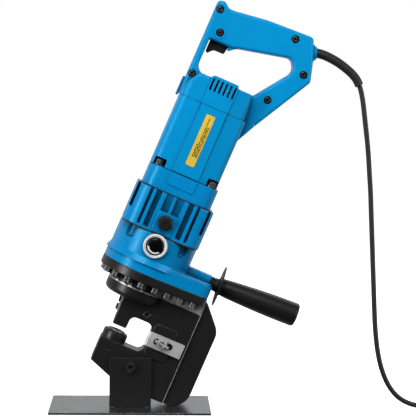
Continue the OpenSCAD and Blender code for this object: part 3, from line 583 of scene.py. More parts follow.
def piece(obj, slot, nodes=(), body="tool", material=None):
    """Finishes a new piece: its material, its body and the CAD nodes it stands for."""
    if obj.type == "MESH":
        clean(obj.data)
        flatten(obj.data)
        smooth(obj)
    obj.data.materials.clear()
    obj.data.materials.append(material or MATERIALS[slot])
    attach(obj, body)
    if nodes:
        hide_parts(*nodes)
    return obj


def group(name, objects):
    """Several solids that never touch, as one object."""
    bm = bmesh.new()
    for obj in objects:
        bm.from_mesh(obj.data)
        bpy.data.objects.remove(obj)
    return add_object(name, mesh_of(bm, name))


def repeat(name, obj, places, space=TOOL):
    """Copies of a solid made at the origin of the tool frame, one at every place, as one object."""
    copies = []
    for place in places:
        other = copy_of(obj, name)
        other.data.transform(space @ Matrix.Translation(place) @ space.inverted())
        copies.append(other)
    bpy.data.objects.remove(obj)
    return group(name, copies)


# ---------- mains cord ----------

CORD_D = 7.0
ROUTE = [
    (244, 0, 490), (253, 0, 489.5), (262, 0, 487), (271, 0, 483), (280, 0, 478),
    (288, 0, 472.5), (295, 0, 467), (301.5, 0, 461), (307, 0, 454), (311, 0, 446),
    (314, 0, 436), (316.5, 0, 423), (318.5, 0, 408), (320.5, 0, 392), (322.5, 0, 376),
    (324.5, 0, 358), (326, 0, 340), (327.5, 0, 320), (329, 0, 300), (330, 0, 280),
    (331, 0, 260), (332, 0, 240), (333, 0, 220), (334, 0, 200), (335, 0, 180),
    (336, 0, 160), (337, 0, 140), (338, 0, 122), (339.5, 0, 104), (341.5, 0, 87),
    (344.5, 0, 70), (349, 0, 53), (355, 0, 38), (363, 0, 24.5), (373, -0.5, 14),
    (385, -2, 7), (398, -5, 3.7), (411, -10, 3.6), (422.5, -17, 3.6), (433, -25, 3.6),
]
COIL_CENTRE = (464, 12)
COIL_R = 41
COIL_START = 230
COIL_END = 2160
PLUG_PLACE = (498, 64, 18)
SLEEVE_RINGS = 10


def eased(t):
    t = max(0.0, min(1.0, t))
    return t * t * (3 - 2 * t)


def coil_points():
    """Three turns inwards on the floor, three outwards on top; each steps over in its last sixth."""
    radii = [COIL_R + CORD_D, COIL_R, COIL_R - CORD_D, COIL_R - CORD_D, COIL_R, COIL_R + CORD_D]
    heights = [3.6] * 3 + [3.6 + CORD_D] * 3
    points = []
    step = 15
    for a in range(COIL_START + step, COIL_END + 1, step):
        turn, part = divmod((a - COIL_START) / 360, 1)
        turn = int(turn)
        after = min(turn + 1, len(radii) - 1)
        t = eased((part - 0.83) / 0.17)
        r = radii[turn] + (radii[after] - radii[turn]) * t
        z = heights[turn] + (heights[after] - heights[turn]) * t
        points.append((COIL_CENTRE[0] + r * cos(radians(a)), COIL_CENTRE[1] + r * sin(radians(a)), z))
    return points


def plug_lead():
    """From the last turn over to the plug."""
    x0, y0 = COIL_CENTRE[0] + COIL_R + CORD_D, COIL_CENTRE[1]
    x1, y1, z1 = PLUG_PLACE
    z0 = 3.6 + CORD_D
    return [
        (x0 + (x1 - x0) * eased(t), y0 + (y1 + 3 - y0) * t, z0 + (z1 - z0) * eased(t))
        for t in (0.2, 0.4, 0.6, 0.8, 1.0)
    ]


def round_curve(name, points, radius, rings, steps):
    """Round tube through points given in mm."""
    curve = bpy.data.curves.new(name, "CURVE")
    curve.dimensions = "3D"
    curve.bevel_depth = radius * MM
    curve.bevel_resolution = rings
    curve.use_fill_caps = True
    curve.resolution_u = steps
    spline = curve.splines.new("BEZIER")
    spline.bezier_points.add(len(points) - 1)
    for knot, point in zip(spline.bezier_points, points):
        knot.co = Vector(point) * MM
        knot.handle_left_type = knot.handle_right_type = "AUTO"
    return add_object(name, curve)


def make_cord():
    return round_curve("mains_cord", ROUTE + coil_points() + plug_lead(), CORD_D / 2, 5, 4)


def make_plug():
    """Round two-pin plug: ribbed boot, grip body with a waist, face, and two pins."""
    x, y, z = PLUG_PLACE
    body = lathe("mains_plug", [
        (0, 0), (4.6, 0), (6.6, 1, 0.5), (7, 4), (6.2, 4.4), (6.2, 5.4), (7.6, 5.8), (7.8, 9), (7, 9.4),
        (7, 10.4), (8.6, 10.8), (9, 14, 1.5), (12, 15, 2), (14.6, 21, 6), (17.4, 29, 4),
        (17.8, 38.8, 1.6), (16.4, 40.8, 0.8), (0, 40.8),
    ], (x, y, z), REAR, 56, WORLD)
    grooves = [
        solid("groove", [box_outline(-19, 19, y + 30 + 3 * k, y + 31.2 + 3 * k)], z + s * 17.1 - 2,
            z + s * 17.1 + 2, 0, "Z", WORLD @ Matrix.Translation((x, 0, 0)))
        for k in range(3) for s in (-1, 1)
    ]
    cut(body, *grooves)
    pins = group("mains_plug_pins", [
        turned("pin", [(0, 40.6), (2.4, 40.6), (2.4, 58.2), (1.9, 59.4), (0.8, 59.8), (0, 59.8)],
            (x + s * 9.5, y, z), REAR, 24, WORLD)
        for s in (-1, 1)
    ])
    return body, pins


def make_sleeve():
    """Rubber strain relief, tapering along the cord's first stretch."""
    sleeve = round_curve("strain_relief_sleeve", ROUTE[:SLEEVE_RINGS], 1, 6, 6)
    for i, knot in enumerate(sleeve.data.splines[0].bezier_points):
        knot.radius = 6.7 - 0.8 * i / (SLEEVE_RINGS - 1)
    return sleeve


def mains():
    cord = piece(make_cord(), "black_rubber", ["power_cord", "cord_coil"])
    body, pins = make_plug()
    piece(body, "black_plastic", ["plug"])
    piece(pins, "brass")
    sleeve = piece(make_sleeve(), "black_rubber", ["strain_relief"])


# ---------- sizes of the tool, in mm, in its own frame ----------

LEDGE_Z, FLANGE_Z, JOINT_Z, PUMP_FLANGE_TOP, PUMP_TOP = 66.5, 80, 92, 111, 147
CASE_Z, CASE_TOP, FAN_TOP, COVER_Z, COVER_TOP = 147.8, 203.5, 234, 334, 370.5
JAW_HALF, SPINE_HALF, PAD_OUT, CYLINDER_R, BORE_R = 19, 15, 2, 40.6, 28
FLANGE_R, NOSE_X, NOSE_Y, NOSE_R, BOLT_INSET = 58.5, 80, 20, 16, 9.5
PUMP_R, CASE_HALF, FAN_HALF, GRIP_HALF = 56.7, 56.4, 50.3, 20
MOTOR_LEFT, MOTOR_RIGHT, MOTOR_DEEP = 50.6, 46.2, 47
PANEL_X0, PANEL_X1, PANEL_OUT = -20, 19, 1.4
GLASS_Z, VALVE_Z, PLUG_Z = 132.8, 128, 166.4
SHAFT_X = 26
SIDE_X, SIDE_Z, GRIP_TILT = 93, 111.8, radians(2.5)
GLAND, GLAND_TILT = (93, 0, 457), radians(21)
FOOT_SCREWS = [(x, y) for x in (-39, 38) for y in (-38.5, 38.5)]
MOTOR_CORNER, FACET_BACK, NOTCH_R, NOTCH_TOP = 12, 5.5, 8.2, 244.8
LOUVRES = [-16.6 + 6.4 * k for k in range(6)]
HANDLE_SCREWS = [(-45.9, 459.8), (-33.6, 430.7), (63.9, 463.7), (-46.3, 365.5), (93.3, 423.7),
    (62.2, 373.1)]
GAUGE_SCREW = (63.1, 10.3)
BRACKET_SCREW = (36.2, -35.4)


def flange_side():
    """Direction square to the flange's straight sides."""
    a = atan2(NOSE_Y, NOSE_X) + acos((FLANGE_R - NOSE_R) / hypot(NOSE_X, NOSE_Y))
    return cos(a), sin(a)


def flange_loop(grow):
    """The flange's outline: a round end on the axis, straight sides, and two round corners."""
    cx, cy = flange_side()
    turn = atan2(cy, cx)
    big, small = FLANGE_R + grow, NOSE_R + grow
    points = [(big * cos(a), big * sin(a))
        for a in (turn + (2 * pi - 2 * turn) * k / 72 for k in range(73))]
    for side in (-1, 1):
        arc = [turn * (1 - k / 8) for k in range(9)]
        if side > 0:
            arc.reverse()
        points += [(NOSE_X + small * cos(a), side * (NOSE_Y + small * sin(a))) for a in arc]
    return points


def bolt_places():
    cx, cy = flange_side()
    r = FLANGE_R - BOLT_INSET
    a = Vector((r * cx, r * cy))
    b = Vector((NOSE_X, NOSE_Y)) + (NOSE_R - BOLT_INSET) * Vector((cx, cy))
    places = [(-r, 0)]
    for side in (-1, 1):
        for k in range(4):
            t = radians(84 + k * 24)
            places.append((r * cos(t), side * r * sin(t)))
        for f in (0.17, 0.44, 0.72, 1):
            p = a.lerp(b, f)
            places.append((p.x, side * p.y))
    return places


def pin(name, place, r, low, high, axis="Y", edge=0.0, steps=40, space=TOOL):
    """Round bar along an axis of the tool frame."""
    return solid(name, [round_outline(r, *place, steps)], low, high, edge, axis, space)


def block(name, x0, x1, y0, y1, z0, z1, r=0.0, edge=0.0, space=TOOL):
    """Block whose outline in the XZ plane has round corners."""
    return solid(name, [box_outline(x0, x1, z0, z1, r)], y0, y1, edge, "Y", space)


# ---------- handle ----------

def handle_shells():
    """Clamshell handle: soft-edged loop, cover with louvres, gland collar, screw wells and its hollows."""
    outer = rounded([
        (-52.8, 326), (56.5, 326), (106.4, 418, 7), (98.5, 445.5, 30), (86, 476, 7), (20, 472.6, 120),
        (-27, 466, 9), (-35.5, 466, 7), (-43.5, 472.5, 5), (-52.8, 471, 5),
    ], 8)
    opening = rounded([
        (-43.2, 370.5, 13), (-43.2, 418.4, 3), (-9, 418.6, 4), (-2, 421.2, 12), (70, 438, 9),
        (80.2, 423, 12), (42.5, 370.5, 9),
    ], 8)
    loop = solid("handle", [outer, opening], -GRIP_HALF, GRIP_HALF, 4.2, rings=5)
    cover = solid("cover", [motor_outline(MOTOR_RIGHT - 3)], COVER_Z - 4, COVER_TOP + 10, 0, "Z")
    common(cover, solid("cover_side", [rounded([
        (-MOTOR_LEFT, COVER_Z - 12), (-MOTOR_LEFT, COVER_Z), (-48.2, 352, 14), (-37, COVER_TOP, 7),
        (39, COVER_TOP, 4), (44, COVER_Z), (45.6, COVER_Z - 12),
    ], 8)], -MOTOR_DEEP, MOTOR_DEEP, 4.5, rings=5))
    panel = solid("panel", [rounded([
        (PANEL_X0, 327), (PANEL_X1, 327), (PANEL_X1, 371, 2), (16.5, 374.6, 2), (-17.5, 374.6, 2),
        (PANEL_X0, 371, 2),
    ])], -MOTOR_DEEP - PANEL_OUT, MOTOR_DEEP + PANEL_OUT, 0.9)
    lip = solid("lip", [rounded([
        (-15.9, 429), (-15.2, 417, 1), (-13.2, 412.8, 1.3), (-5, 419.6, 4), (5, 424), (5, 429),
    ])], -GRIP_HALF + 4.7, GRIP_HALF - 4.7, 0.8)
    way = (cos(GLAND_TILT), 0, sin(GLAND_TILT))
    collar = lathe("collar", [
        (0, -8), (11.6, -8), (11.6, 3.6, 1.2), (9.4, 4.2, 0.4), (9.4, 6.6, 0.8), (0, 6.6),
    ], GLAND, way, 40)
    shell = trim(join(loop, cover, panel, lip, collar), (0, 0, COVER_Z), (0, 0, -1))
    join(shell, lathe("boss", [
        (0, -GRIP_HALF + 2.3), (9.7, -GRIP_HALF + 2.3), (8.2, -GRIP_HALF - 0.7, 0.4),
        (0, -GRIP_HALF - 0.7),
    ], (HANDLE_SCREWS[1][0], 0, HANDLE_SCREWS[1][1]), REAR, 40))
    hollows = [
        post("motor_room", 38, COVER_Z - 1, 362, steps=64),
        block("switch_room", -44, -4, -11.5, 11.5, 419.5, 457),
        block("wire_room", -10, 84, -6, 6, 446, 457),
        block("wire_way", -49, -44.5, -8, 8, 357, 426),
        block("trigger_slot", -42.2, -15, -8.4, 8.4, 410, 424),
        post("gland_bore", 6.9, -14, 16, GLAND, way, 40),
    ]
    louvres = [
        solid("louvre", [box_outline(x - 1.4, x + 1.4, 353.5, 371, 1.3)], y, y + 32)
        for x in LOUVRES for y in (-60, 28)
    ]
    wells = [
        turned("well", [(0, -GRIP_HALF - 3), (5.6, -GRIP_HALF - 3), (5.6, -GRIP_HALF + 6.4),
            (3.2, -GRIP_HALF + 6.4), (3.2, 14), (0, 14)], (x, 0, z), REAR)
        for x, z in HANDLE_SCREWS
    ]
    cut(shell, *hollows, *louvres, *wells)
    rear = copy_of(shell, "handle_rear")
    front = trim(shell, (0, -0.12, 0), REAR)
    front.name = "handle_front"
    trim(rear, (0, 0.12, 0), (0, -1, 0))
    piece(front, "blue_moulding", ["handle_shell_front"])
    piece(rear, "blue_moulding", ["handle_shell_rear"])
    screens = [
        block("screen", LOUVRES[0] - 2.5, LOUVRES[-1] + 2.5, y, y + 0.6, 352.5, 371.8)
        for y in (-MOTOR_DEEP + 5, MOTOR_DEEP - 5.6)
    ]
    piece(group("louvre_screens", screens), "black_plastic")


# ---------- motor and fan housing ----------

def motor_outline(right):
    """Section of the motor: flat front and rear, and facets that fall back to the right corners."""
    return rounded([
        (-MOTOR_LEFT, -MOTOR_DEEP, MOTOR_CORNER), (PANEL_X1 + 0.3, -MOTOR_DEEP),
        (right, FACET_BACK - MOTOR_DEEP, MOTOR_CORNER), (right, MOTOR_DEEP - FACET_BACK, MOTOR_CORNER),
        (PANEL_X1 + 0.3, MOTOR_DEEP), (-MOTOR_LEFT, MOTOR_DEEP, MOTOR_CORNER),
    ], 10)


def motor_shell():
    """Moulded motor housing: flat panels, notches for the foot screws, gusset under the handle."""
    body = solid("motor_shell", [motor_outline(MOTOR_RIGHT)], FAN_TOP, COVER_Z - 0.35, 0.7, "Z")
    panels = solid("panels", [box_outline(PANEL_X0, PANEL_X1, FAN_TOP + 0.2, COVER_Z - 0.4, 0.5)],
        -MOTOR_DEEP - PANEL_OUT, MOTOR_DEEP + PANEL_OUT, 0.9)
    gusset = trim(solid("gusset", [rounded([
        (30, 285), (41, 285), (MOTOR_RIGHT - 0.4, 303, 14), (66.4, COVER_Z + 12), (30, COVER_Z + 12),
    ])], -GRIP_HALF, GRIP_HALF, 3.6, rings=4), (0, 0, COVER_Z - 0.5), (0, 0, 1))
    core = solid("core", [[(38, 310), (MOTOR_RIGHT, 310), (57.6, COVER_Z - 0.02), (38, COVER_Z - 0.02)]],
        2 - GRIP_HALF, GRIP_HALF - 2)
    join(body, panels, gusset, core)
    pockets = []
    for x, y in FOOT_SCREWS:
        pockets.append(lathe("pocket", [
            (0, FAN_TOP - 1), (NOTCH_R, FAN_TOP - 1), (NOTCH_R, NOTCH_TOP, 2), (0, NOTCH_TOP),
        ], (x, y, 0), steps=36))
        pockets.append(block("notch", x - NOTCH_R + 0.04, x + NOTCH_R - 0.04, y,
            y + (20 if y > 0 else -20), FAN_TOP - 6, NOTCH_TOP + 0.04, 2))
    room = post("room", 42, FAN_TOP - 1, 322, steps=72)
    seat = turned("seat", [(0, 320), (6, 320), (6, 325.5), (11, 325.5), (11, COVER_Z + 1),
        (0, COVER_Z + 1)], steps=36)
    cut(body, room, seat, *pockets)
    piece(body, "blue_moulding", ["motor_housing"])


def fan_shell():
    """Square band round the fan, with the motor's panel running on down it."""
    band = box_outline(-FAN_HALF - 0.5, FAN_HALF - 0.5, -FAN_HALF + 1.5, FAN_HALF - 1.5, 20, 12)
    body = solid("fan_shell", [band], CASE_TOP + 0.8, FAN_TOP - 0.3, 1.3, "Z")
    panels = solid("panels", [box_outline(PANEL_X0, PANEL_X1, 215.6, FAN_TOP - 0.6, 1.5)],
        -FAN_HALF + 0.6, FAN_HALF - 0.6, 0.45)
    join(body, panels)
    room = post("room", 41, 209.5, FAN_TOP + 1, steps=72)
    seat = post("seat", 11, CASE_TOP - 1, 210.5, steps=36)
    holes = [
        post("hole", 3.35, 214, FAN_TOP + 1, (x, y, 0), steps=20)
        for x, y in FOOT_SCREWS
    ]
    cut(body, room, seat, *holes)
    piece(body, "blue_casting", ["fan_housing"])


# ---------- gear case ----------

RIB_GROOVES = [(19.5, 27.5), (32, 36.2)]


def gear_shell():
    """Ribbed casting: deep grooves front and rear, stepped corners, boss for the filler plug."""
    deep = CASE_HALF - 3
    body = solid("gear_shell", [box_outline(-CASE_HALF, CASE_HALF, -deep, deep, 24, 12)], CASE_Z + 0.7,
        CASE_TOP, 1.4, "Z")
    boss = solid("boss", [box_outline(-14.5, 14.5, 149.5, 178.6, 2.2)], -CASE_HALF + 1.5, -40, 1.1)
    join(body, boss)
    grooves = []
    for side in (-1, 1):
        out = side * (deep + 12)
        for m in (-1, 1):
            for x0, x1 in RIB_GROOVES:
                groove = box_outline(m * x0, m * x1, 152, 230, 2)
                grooves.append(solid("groove", [groove], side * (deep - 7), out, 1.5))
            groove = box_outline(m * 1.6, m * 13.2, 179.6, 230, 1.5)
            grooves.append(solid("groove", [groove], side * (deep - 6), out, 1.2))
        for x0, x1 in ((-54.4, -50.4), (48, 52)):
            corner = box_outline(x0, x1, side * 26, side * 70, 0.6)
            grooves.append(solid("corner", [corner], 169, 230, 0, "Z"))
    cut(body, *grooves)
    rooms = [
        post("oil_room", 44, CASE_Z - 1, 153, steps=72),
        post("gear_room", 36, 163, 181, steps=72),
        post("pump_gear_room", 22.5, 162.9, 181.1, (SHAFT_X, 0, 0), steps=72),
        post("shaft_bore", 13, 152, 191.5, (SHAFT_X, 0, 0)),
        post("motor_seat", 11, 179, CASE_TOP + 1),
        pin("plug_bore", (0, PLUG_Z), 6, -CASE_HALF - 5, -30),
    ]
    cut(body, *rooms)
    piece(body, "blue_casting", ["gear_case"])
    # the dark ring at the fan joint paints the shadow in the gap under the fan housing
    for name, low, half in (
        ("case_gasket", CASE_Z, CASE_HALF - 3), ("fan_seam_painted_shadow", CASE_TOP - 0.2, FAN_HALF - 2.2),
    ):
        gasket_and_shadow_strip = solid(name, [box_outline(-half - 1.5, half + 1, -half, half, 19, 12)], low + 0.05,
            low + 1.1, 0, "Z")
        cut(gasket_and_shadow_strip, post("room", 44, low - 1, low + 2, steps=72))
        piece(gasket_and_shadow_strip, "gasket_brown")


def filler():
    """Filler plug: a dark moulded hexagon with a domed middle and a hex socket."""
    face = -CASE_HALF - 6.5
    hexagon = rounded([
        (10.9 * cos(pi * k / 3), PLUG_Z + 10.9 * sin(pi * k / 3), 1.2) for k in range(6)
    ])
    body = solid("filler_cap", [hexagon], face, -CASE_HALF + 1.3, 0.9)
    dome = lathe("dome", [(0, 14), (6, 14), (6, 1), (8.6, 1), (8.6, -7, 0.6), (0, -7.4)],
        (0, -CASE_HALF, PLUG_Z), REAR)
    join(body, dome)
    socket = solid("socket", [round_outline(2.9, 0, PLUG_Z, 6)], -CASE_HALF - 9, -CASE_HALF - 5)
    cut(body, socket)
    piece(body, "gasket_brown", ["filler_plug"], material=MATERIALS["plug_brown"])


# ---------- pump ----------

def pump_shell():
    """Pump casting: flange, filleted barrel, bosses for glass and valve, side arm, screw pockets."""
    body = solid("pump_shell", [flange_loop(-0.3)], JOINT_Z, PUMP_FLANGE_TOP - 2.4, 0.7, "Z")
    step = solid("step", [flange_loop(-2.2)], JOINT_Z + 4, PUMP_FLANGE_TOP, 1.6, "Z")
    barrel = lathe("barrel", [
        (0, PUMP_FLANGE_TOP - 6), (PUMP_R + 4, PUMP_FLANGE_TOP - 6),
        (PUMP_R + 1.6, PUMP_FLANGE_TOP - 1), (PUMP_R, PUMP_FLANGE_TOP + 2.5, 3), (PUMP_R, PUMP_TOP, 1),
        (0, PUMP_TOP),
    ], steps=96)
    glass = lathe("glass_boss", [(0, -40), (20, -40), (18.4, -PUMP_R - 1, 1.2), (0, -PUMP_R - 1)],
        (0, 0, GLASS_Z), REAR)
    trim(glass, (0, 0, PUMP_TOP - 0.4), (0, 0, 1))
    valve = lathe("valve_boss", [(0, 40), (9, 40), (9, PUMP_R + 1, 1), (0, PUMP_R + 1)],
        (0, 0, VALVE_Z), REAR, 40)
    arm = solid("arm", [rounded([
        (-11, JOINT_Z + 2), (11, JOINT_Z + 2), (11, SIDE_Z - 1), (11, SIDE_Z + 10.2, 8),
        (-11, SIDE_Z + 10.2, 8), (-11, SIDE_Z - 1),
    ])], 30, 91.6, 2.2, "X", rings=4)
    join(body, step, barrel, glass, valve, arm)
    bolts = [post("hole", 4, JOINT_Z - 1, 102.5, (*p, 0), steps=16) for p in bolt_places()]
    pockets = [
        lathe("pocket", [(0, 130), (8.3, 130, 4), (8.3, 150), (0, 150)],
            (60 * cos(radians(a)), 60 * sin(radians(a)), 0), rings=6)
        for a in (48, 132, 228, 312)
    ]
    rooms = [
        post("oil_room", 50, 104, PUMP_TOP + 1, steps=72),
        post("glass_bore", 13, -PUMP_R - 3, -40, (0, 0, GLASS_Z), REAR),
        post("valve_bore", 5, 40, PUMP_R + 3, (0, 0, VALVE_Z), REAR, 24),
        on_handle("stud_bore", [(0, -26), (5, -26), (5, -1.6), (9.8, -1.6), (9.8, 10), (0, 10)], 40),
    ]
    cut(body, *bolts, *pockets, *rooms)
    piece(body, "blue_casting", ["pump_housing"])


def sight_glass():
    """Sight glass: bezel with a grooved face, dark domed lens, and a white crescent on the lens that
    paints the reflection of the floor in its dome.
    """
    wall = -PUMP_R
    bezel = lathe("sight_bezel", [
        (10, -50), (10, wall - 0.2), (12.6, wall - 0.2), (12.6, wall - 3.2, 0.4),
        (13.5, wall - 3.6, 0.2), (13.7, wall - 2.6), (14.1, wall - 2.6),
        (14.4, wall - 4.3, 0.3), (15.8, wall - 4.1, 0.8), (16.5, wall - 2.6, 0.8),
        (16.5, wall - 1.02), (13, wall - 1.02), (13, -50), (10, -50),
    ], (0, 0, GLASS_Z), REAR, 72)
    piece(bezel, "bezel_white", ["sight_glass_bezel"])

    def dome(r, out=0.0):
        return wall - 2.6 - 3.8 * (1 - (r / 12.5) ** 2) ** 0.5 - out

    widths = [12.5 * cos(radians(7.5 * k)) for k in range(12)]
    lens = turned("sight_lens", [
        (0, wall - 0.5), *((r, dome(r)) for r in widths), (0, dome(0)),
    ], (0, 0, GLASS_Z), REAR, 64)
    piece(lens, "lens_black", ["sight_glass_lens"])
    # painted reflection: a thin white crescent just proud of the lens stands for the floor reflected in
    # the dome
    crescent = turned("sight_painted_reflection", [
        (8, dome(8) + 0.6), (8, dome(8, 0.06)), (9.2, dome(9.2, 0.1)), (10.4, dome(10.4, 0.06)),
        (10.4, dome(10.4) + 0.6), (8, dome(8) + 0.6),
    ], (0, 0, GLASS_Z), REAR, 72)
    trim(crescent, (0, 0, GLASS_Z - 4.3), (0.133, 0, 0.991))
    piece(crescent, "bezel_white")


# ---------- punch head ----------

def frame_shell():
    """Forged C frame: thick jaws, thinner spine, cylinder, neck with spot faces, bolted flange."""
    jaw = solid("frame_shell", [rounded([
        (-18, -48, 1.6), (15, -59.5, 4), (32, -65.5, 8), (97.5, -65.5, 1.2), (97.5, LEDGE_Z, 1.2),
        (-10, LEDGE_Z, 1.2), (-10, 12.4, 1.4), (10, 12.4, 1.4), (10, 29, 8), (43, 29, 9),
        (43, -12.8, 10), (17, -12.8, 0.4), (-18, -12.8, 1.2),
    ])], -JAW_HALF, JAW_HALF, 1.0)
    spine = solid("spine", [rounded([
        (80, -65.5), (128, -65.5, 26), (128, 54, 22), (102.5, 82, 3.5), (98.5, 85.5, 1.8), (94, 79.8),
        (80, 79.8),
    ], 9)], -SPINE_HALF, SPINE_HALF, 1.6, rings=4)
    cylinder = lathe("cylinder", [
        (0, 50), (CYLINDER_R, 50, 8), (CYLINDER_R, LEDGE_Z + 0.5), (0, LEDGE_Z + 0.5),
    ], rings=8, steps=96)
    neck = block("neck", 0, 97.5, -JAW_HALF + 2, JAW_HALF - 2, LEDGE_Z - 2, FLANGE_Z + 1)
    neck_round = post("neck_round", CYLINDER_R - 0.3, LEDGE_Z - 3, FLANGE_Z + 2, steps=90)
    join(neck, neck_round)
    for k, p in enumerate(bolt_places()):
        floor = LEDGE_Z + 0.5 + 0.01 * k
        cut(neck, post("spot", 10, floor, FLANGE_Z + 4, (*p, 0), steps=40))
    flange = solid("flange", [flange_loop(0)], FLANGE_Z, JOINT_Z, 0.9, "Z")
    boss = lathe("die_boss", [
        (0, -20), (17.3, -20), (17.3, -4, 0.2), (16.9, -3.8), (16.9, -3.2), (17.3, -3, 0.2),
        (17.3, -2, 0.3), (15.3, 0, 0.4), (0, 0),
    ], steps=64)
    pads = block("pads", 44.6, 78.6, -JAW_HALF - PAD_OUT, JAW_HALF + PAD_OUT, -14.5, 33.6, 7, 1.1)
    join(jaw, spine, cylinder, neck, flange, boss, pads)
    holes = [post("hole", 4, FLANGE_Z - 1, JOINT_Z + 1, (*p, 0), steps=16) for p in bolt_places()]
    cut(jaw, *holes)
    bores = [
        post("bore", BORE_R, 56, JOINT_Z + 1, steps=72),
        post("rod_bore", 8.15, 22, 57, steps=40),
        post("punch_bore", 6.55, 15, 23, steps=40),
        post("stripper_seat", 8.6, 11, 15.4, steps=40),
        post("die_seat", 12, -32, 1),
        post("slug_hole", 8.5, -70, -31, steps=40),
        block("window", -11, -6, -5, 5, 27, 46),
        block("oval_mark", 24, 45.5, -JAW_HALF - 1, -JAW_HALF + 0.6, 41.7, 49.5, 3.8),
        pin("set_screw_hole", (-0.5, -24.6), 4, -JAW_HALF - 1, -11.5, steps=32),
        pin("plug_screw_hole", (29, 38.5), 4, -JAW_HALF - 1, -8, steps=32),
        pin("gauge_screw_hole", GAUGE_SCREW, 3, -JAW_HALF - PAD_OUT - 1, -7, steps=32),
        pin("bracket_hole_front", BRACKET_SCREW, 4, -JAW_HALF - 1, -9, steps=32),
        pin("bracket_hole_rear", BRACKET_SCREW, 4, 9, JAW_HALF + 1, steps=32),
    ]
    bores += [
        post("plate_screw_hole", 1.5, 0, 6, (-10.5, y, z), (1, 0, 0), 16)
        for y in (-8, 8) for z in (31.5, 42.5)
    ]
    cut(jaw, *bores)
    piece(jaw, "black_frame", ["c_frame"], material=MATERIALS["frame_finish"])


def hex_socket(place, d, axis, low, high):
    return solid("socket", [round_outline(0.45 * d, *place, 6)], low, high, 0, axis)


def flange_screws():
    """Cap screws under the flange, their heads knurled, each with a hex socket and its own shank."""
    screw = solid("head", [knurled_outline(6.4, 30, 0.32)], FLANGE_Z - 8, FLANGE_Z - 0.05, 0.35, "Z",
        rings=1)
    join(screw, turned("shank", [
        (0, FLANGE_Z - 0.5), (3.95, FLANGE_Z - 0.5), (3.95, 101.4), (3.3, 102), (0, 102)], steps=20))
    cut(screw, hex_socket((0, 0), 8, "Z", FLANGE_Z - 9, FLANGE_Z - 4))
    piece(repeat("flange_screws", screw, [(*p, 0) for p in bolt_places()]), "black_screw",
        ["flange_bolts"])


def foot_screws():
    """Cap screws with washers at the motor's foot."""
    screw = solid("head", [knurled_outline(5.4, 26, 0.3)], FAN_TOP + 1, FAN_TOP + 8, 0.4, "Z", rings=1)
    washer = lathe("washer", [
        (0, FAN_TOP + 0.02), (7.4, FAN_TOP + 0.02, 0.2), (7.4, FAN_TOP + 1.5, 0.35), (0, FAN_TOP + 1.5),
    ], steps=36)
    shank = post("shank", 2.9, 221, FAN_TOP + 1, steps=20)
    join(screw, washer, shank)
    cut(screw, hex_socket((0, 0), 6.6, "Z", FAN_TOP + 4.7, FAN_TOP + 9))
    piece(repeat("foot_screws", screw, [(x, y, 0) for x, y in FOOT_SCREWS]), "black_screw",
        ["fan_housing_screws"])


def case_screws():
    """Screws in the wells of the handle: domed heads with a hex socket."""
    face = -GRIP_HALF + 6.4
    screw = lathe("head", [
        (0, face - 5.4), (3.4, face - 5.4), (4.9, face - 4.4, 1.2), (4.96, face), (3.05, face),
        (3.05, 6.4), (0, 6.4),
    ], (0, 0, 0), REAR, 36)
    cut(screw, hex_socket((0, 0), 5.4, "Y", face - 7, face - 3))
    piece(repeat("case_screws", screw, [(x, 0, z) for x, z in HANDLE_SCREWS]), "black_screw",
        ["handle_screws"])


def brackets():
    """Upright side plates, each with the hole for its screw, and the weld beads that hold them to the base
    plate.
    """
    low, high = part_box("bracket_front")
    plate_top = low.z / MM
    for name, side in (("front", -1), ("rear", 1)):
        face = side * (JAW_HALF + 5)
        outline = box_outline(low.x / MM, high.x / MM, plate_top, high.z / MM, 0.8)
        plate = solid("bracket_plate_" + name, [outline], side * JAW_HALF, face, 0.5, "Y", WORLD)
        cut(plate, pin("hole", BRACKET_SCREW, 4, -30, 30, steps=32))
        piece(plate, "black_bracket", ["bracket_" + name])
        beads = []
        for x0 in (-28.2, 19.4):
            bead = turned("bead", [
                (0.001 if k in (0, 12) else 2.0 + 0.25 * sin(5 * k), x0 + k * 8.8 / 12) for k in range(13)
            ], (0, face, plate_top), (1, 0, 0), 12, WORLD)
            beads.append(trim(bead, (0, 0, plate_top), (0, 0, -1), WORLD))
        piece(group("weld_beads_" + name, beads), "black_bracket")


def base():
    """Base plate: ground steel sheet with slightly eased edges."""
    low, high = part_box("base_plate")
    plate = solid("base_sheet", [box_outline(low.x / MM, high.x / MM, low.y / MM, high.y / MM, 0.6)],
        low.z / MM, high.z / MM, 0.25, "Z", WORLD, 2)
    piece(plate, "base_steel", ["base_plate"])


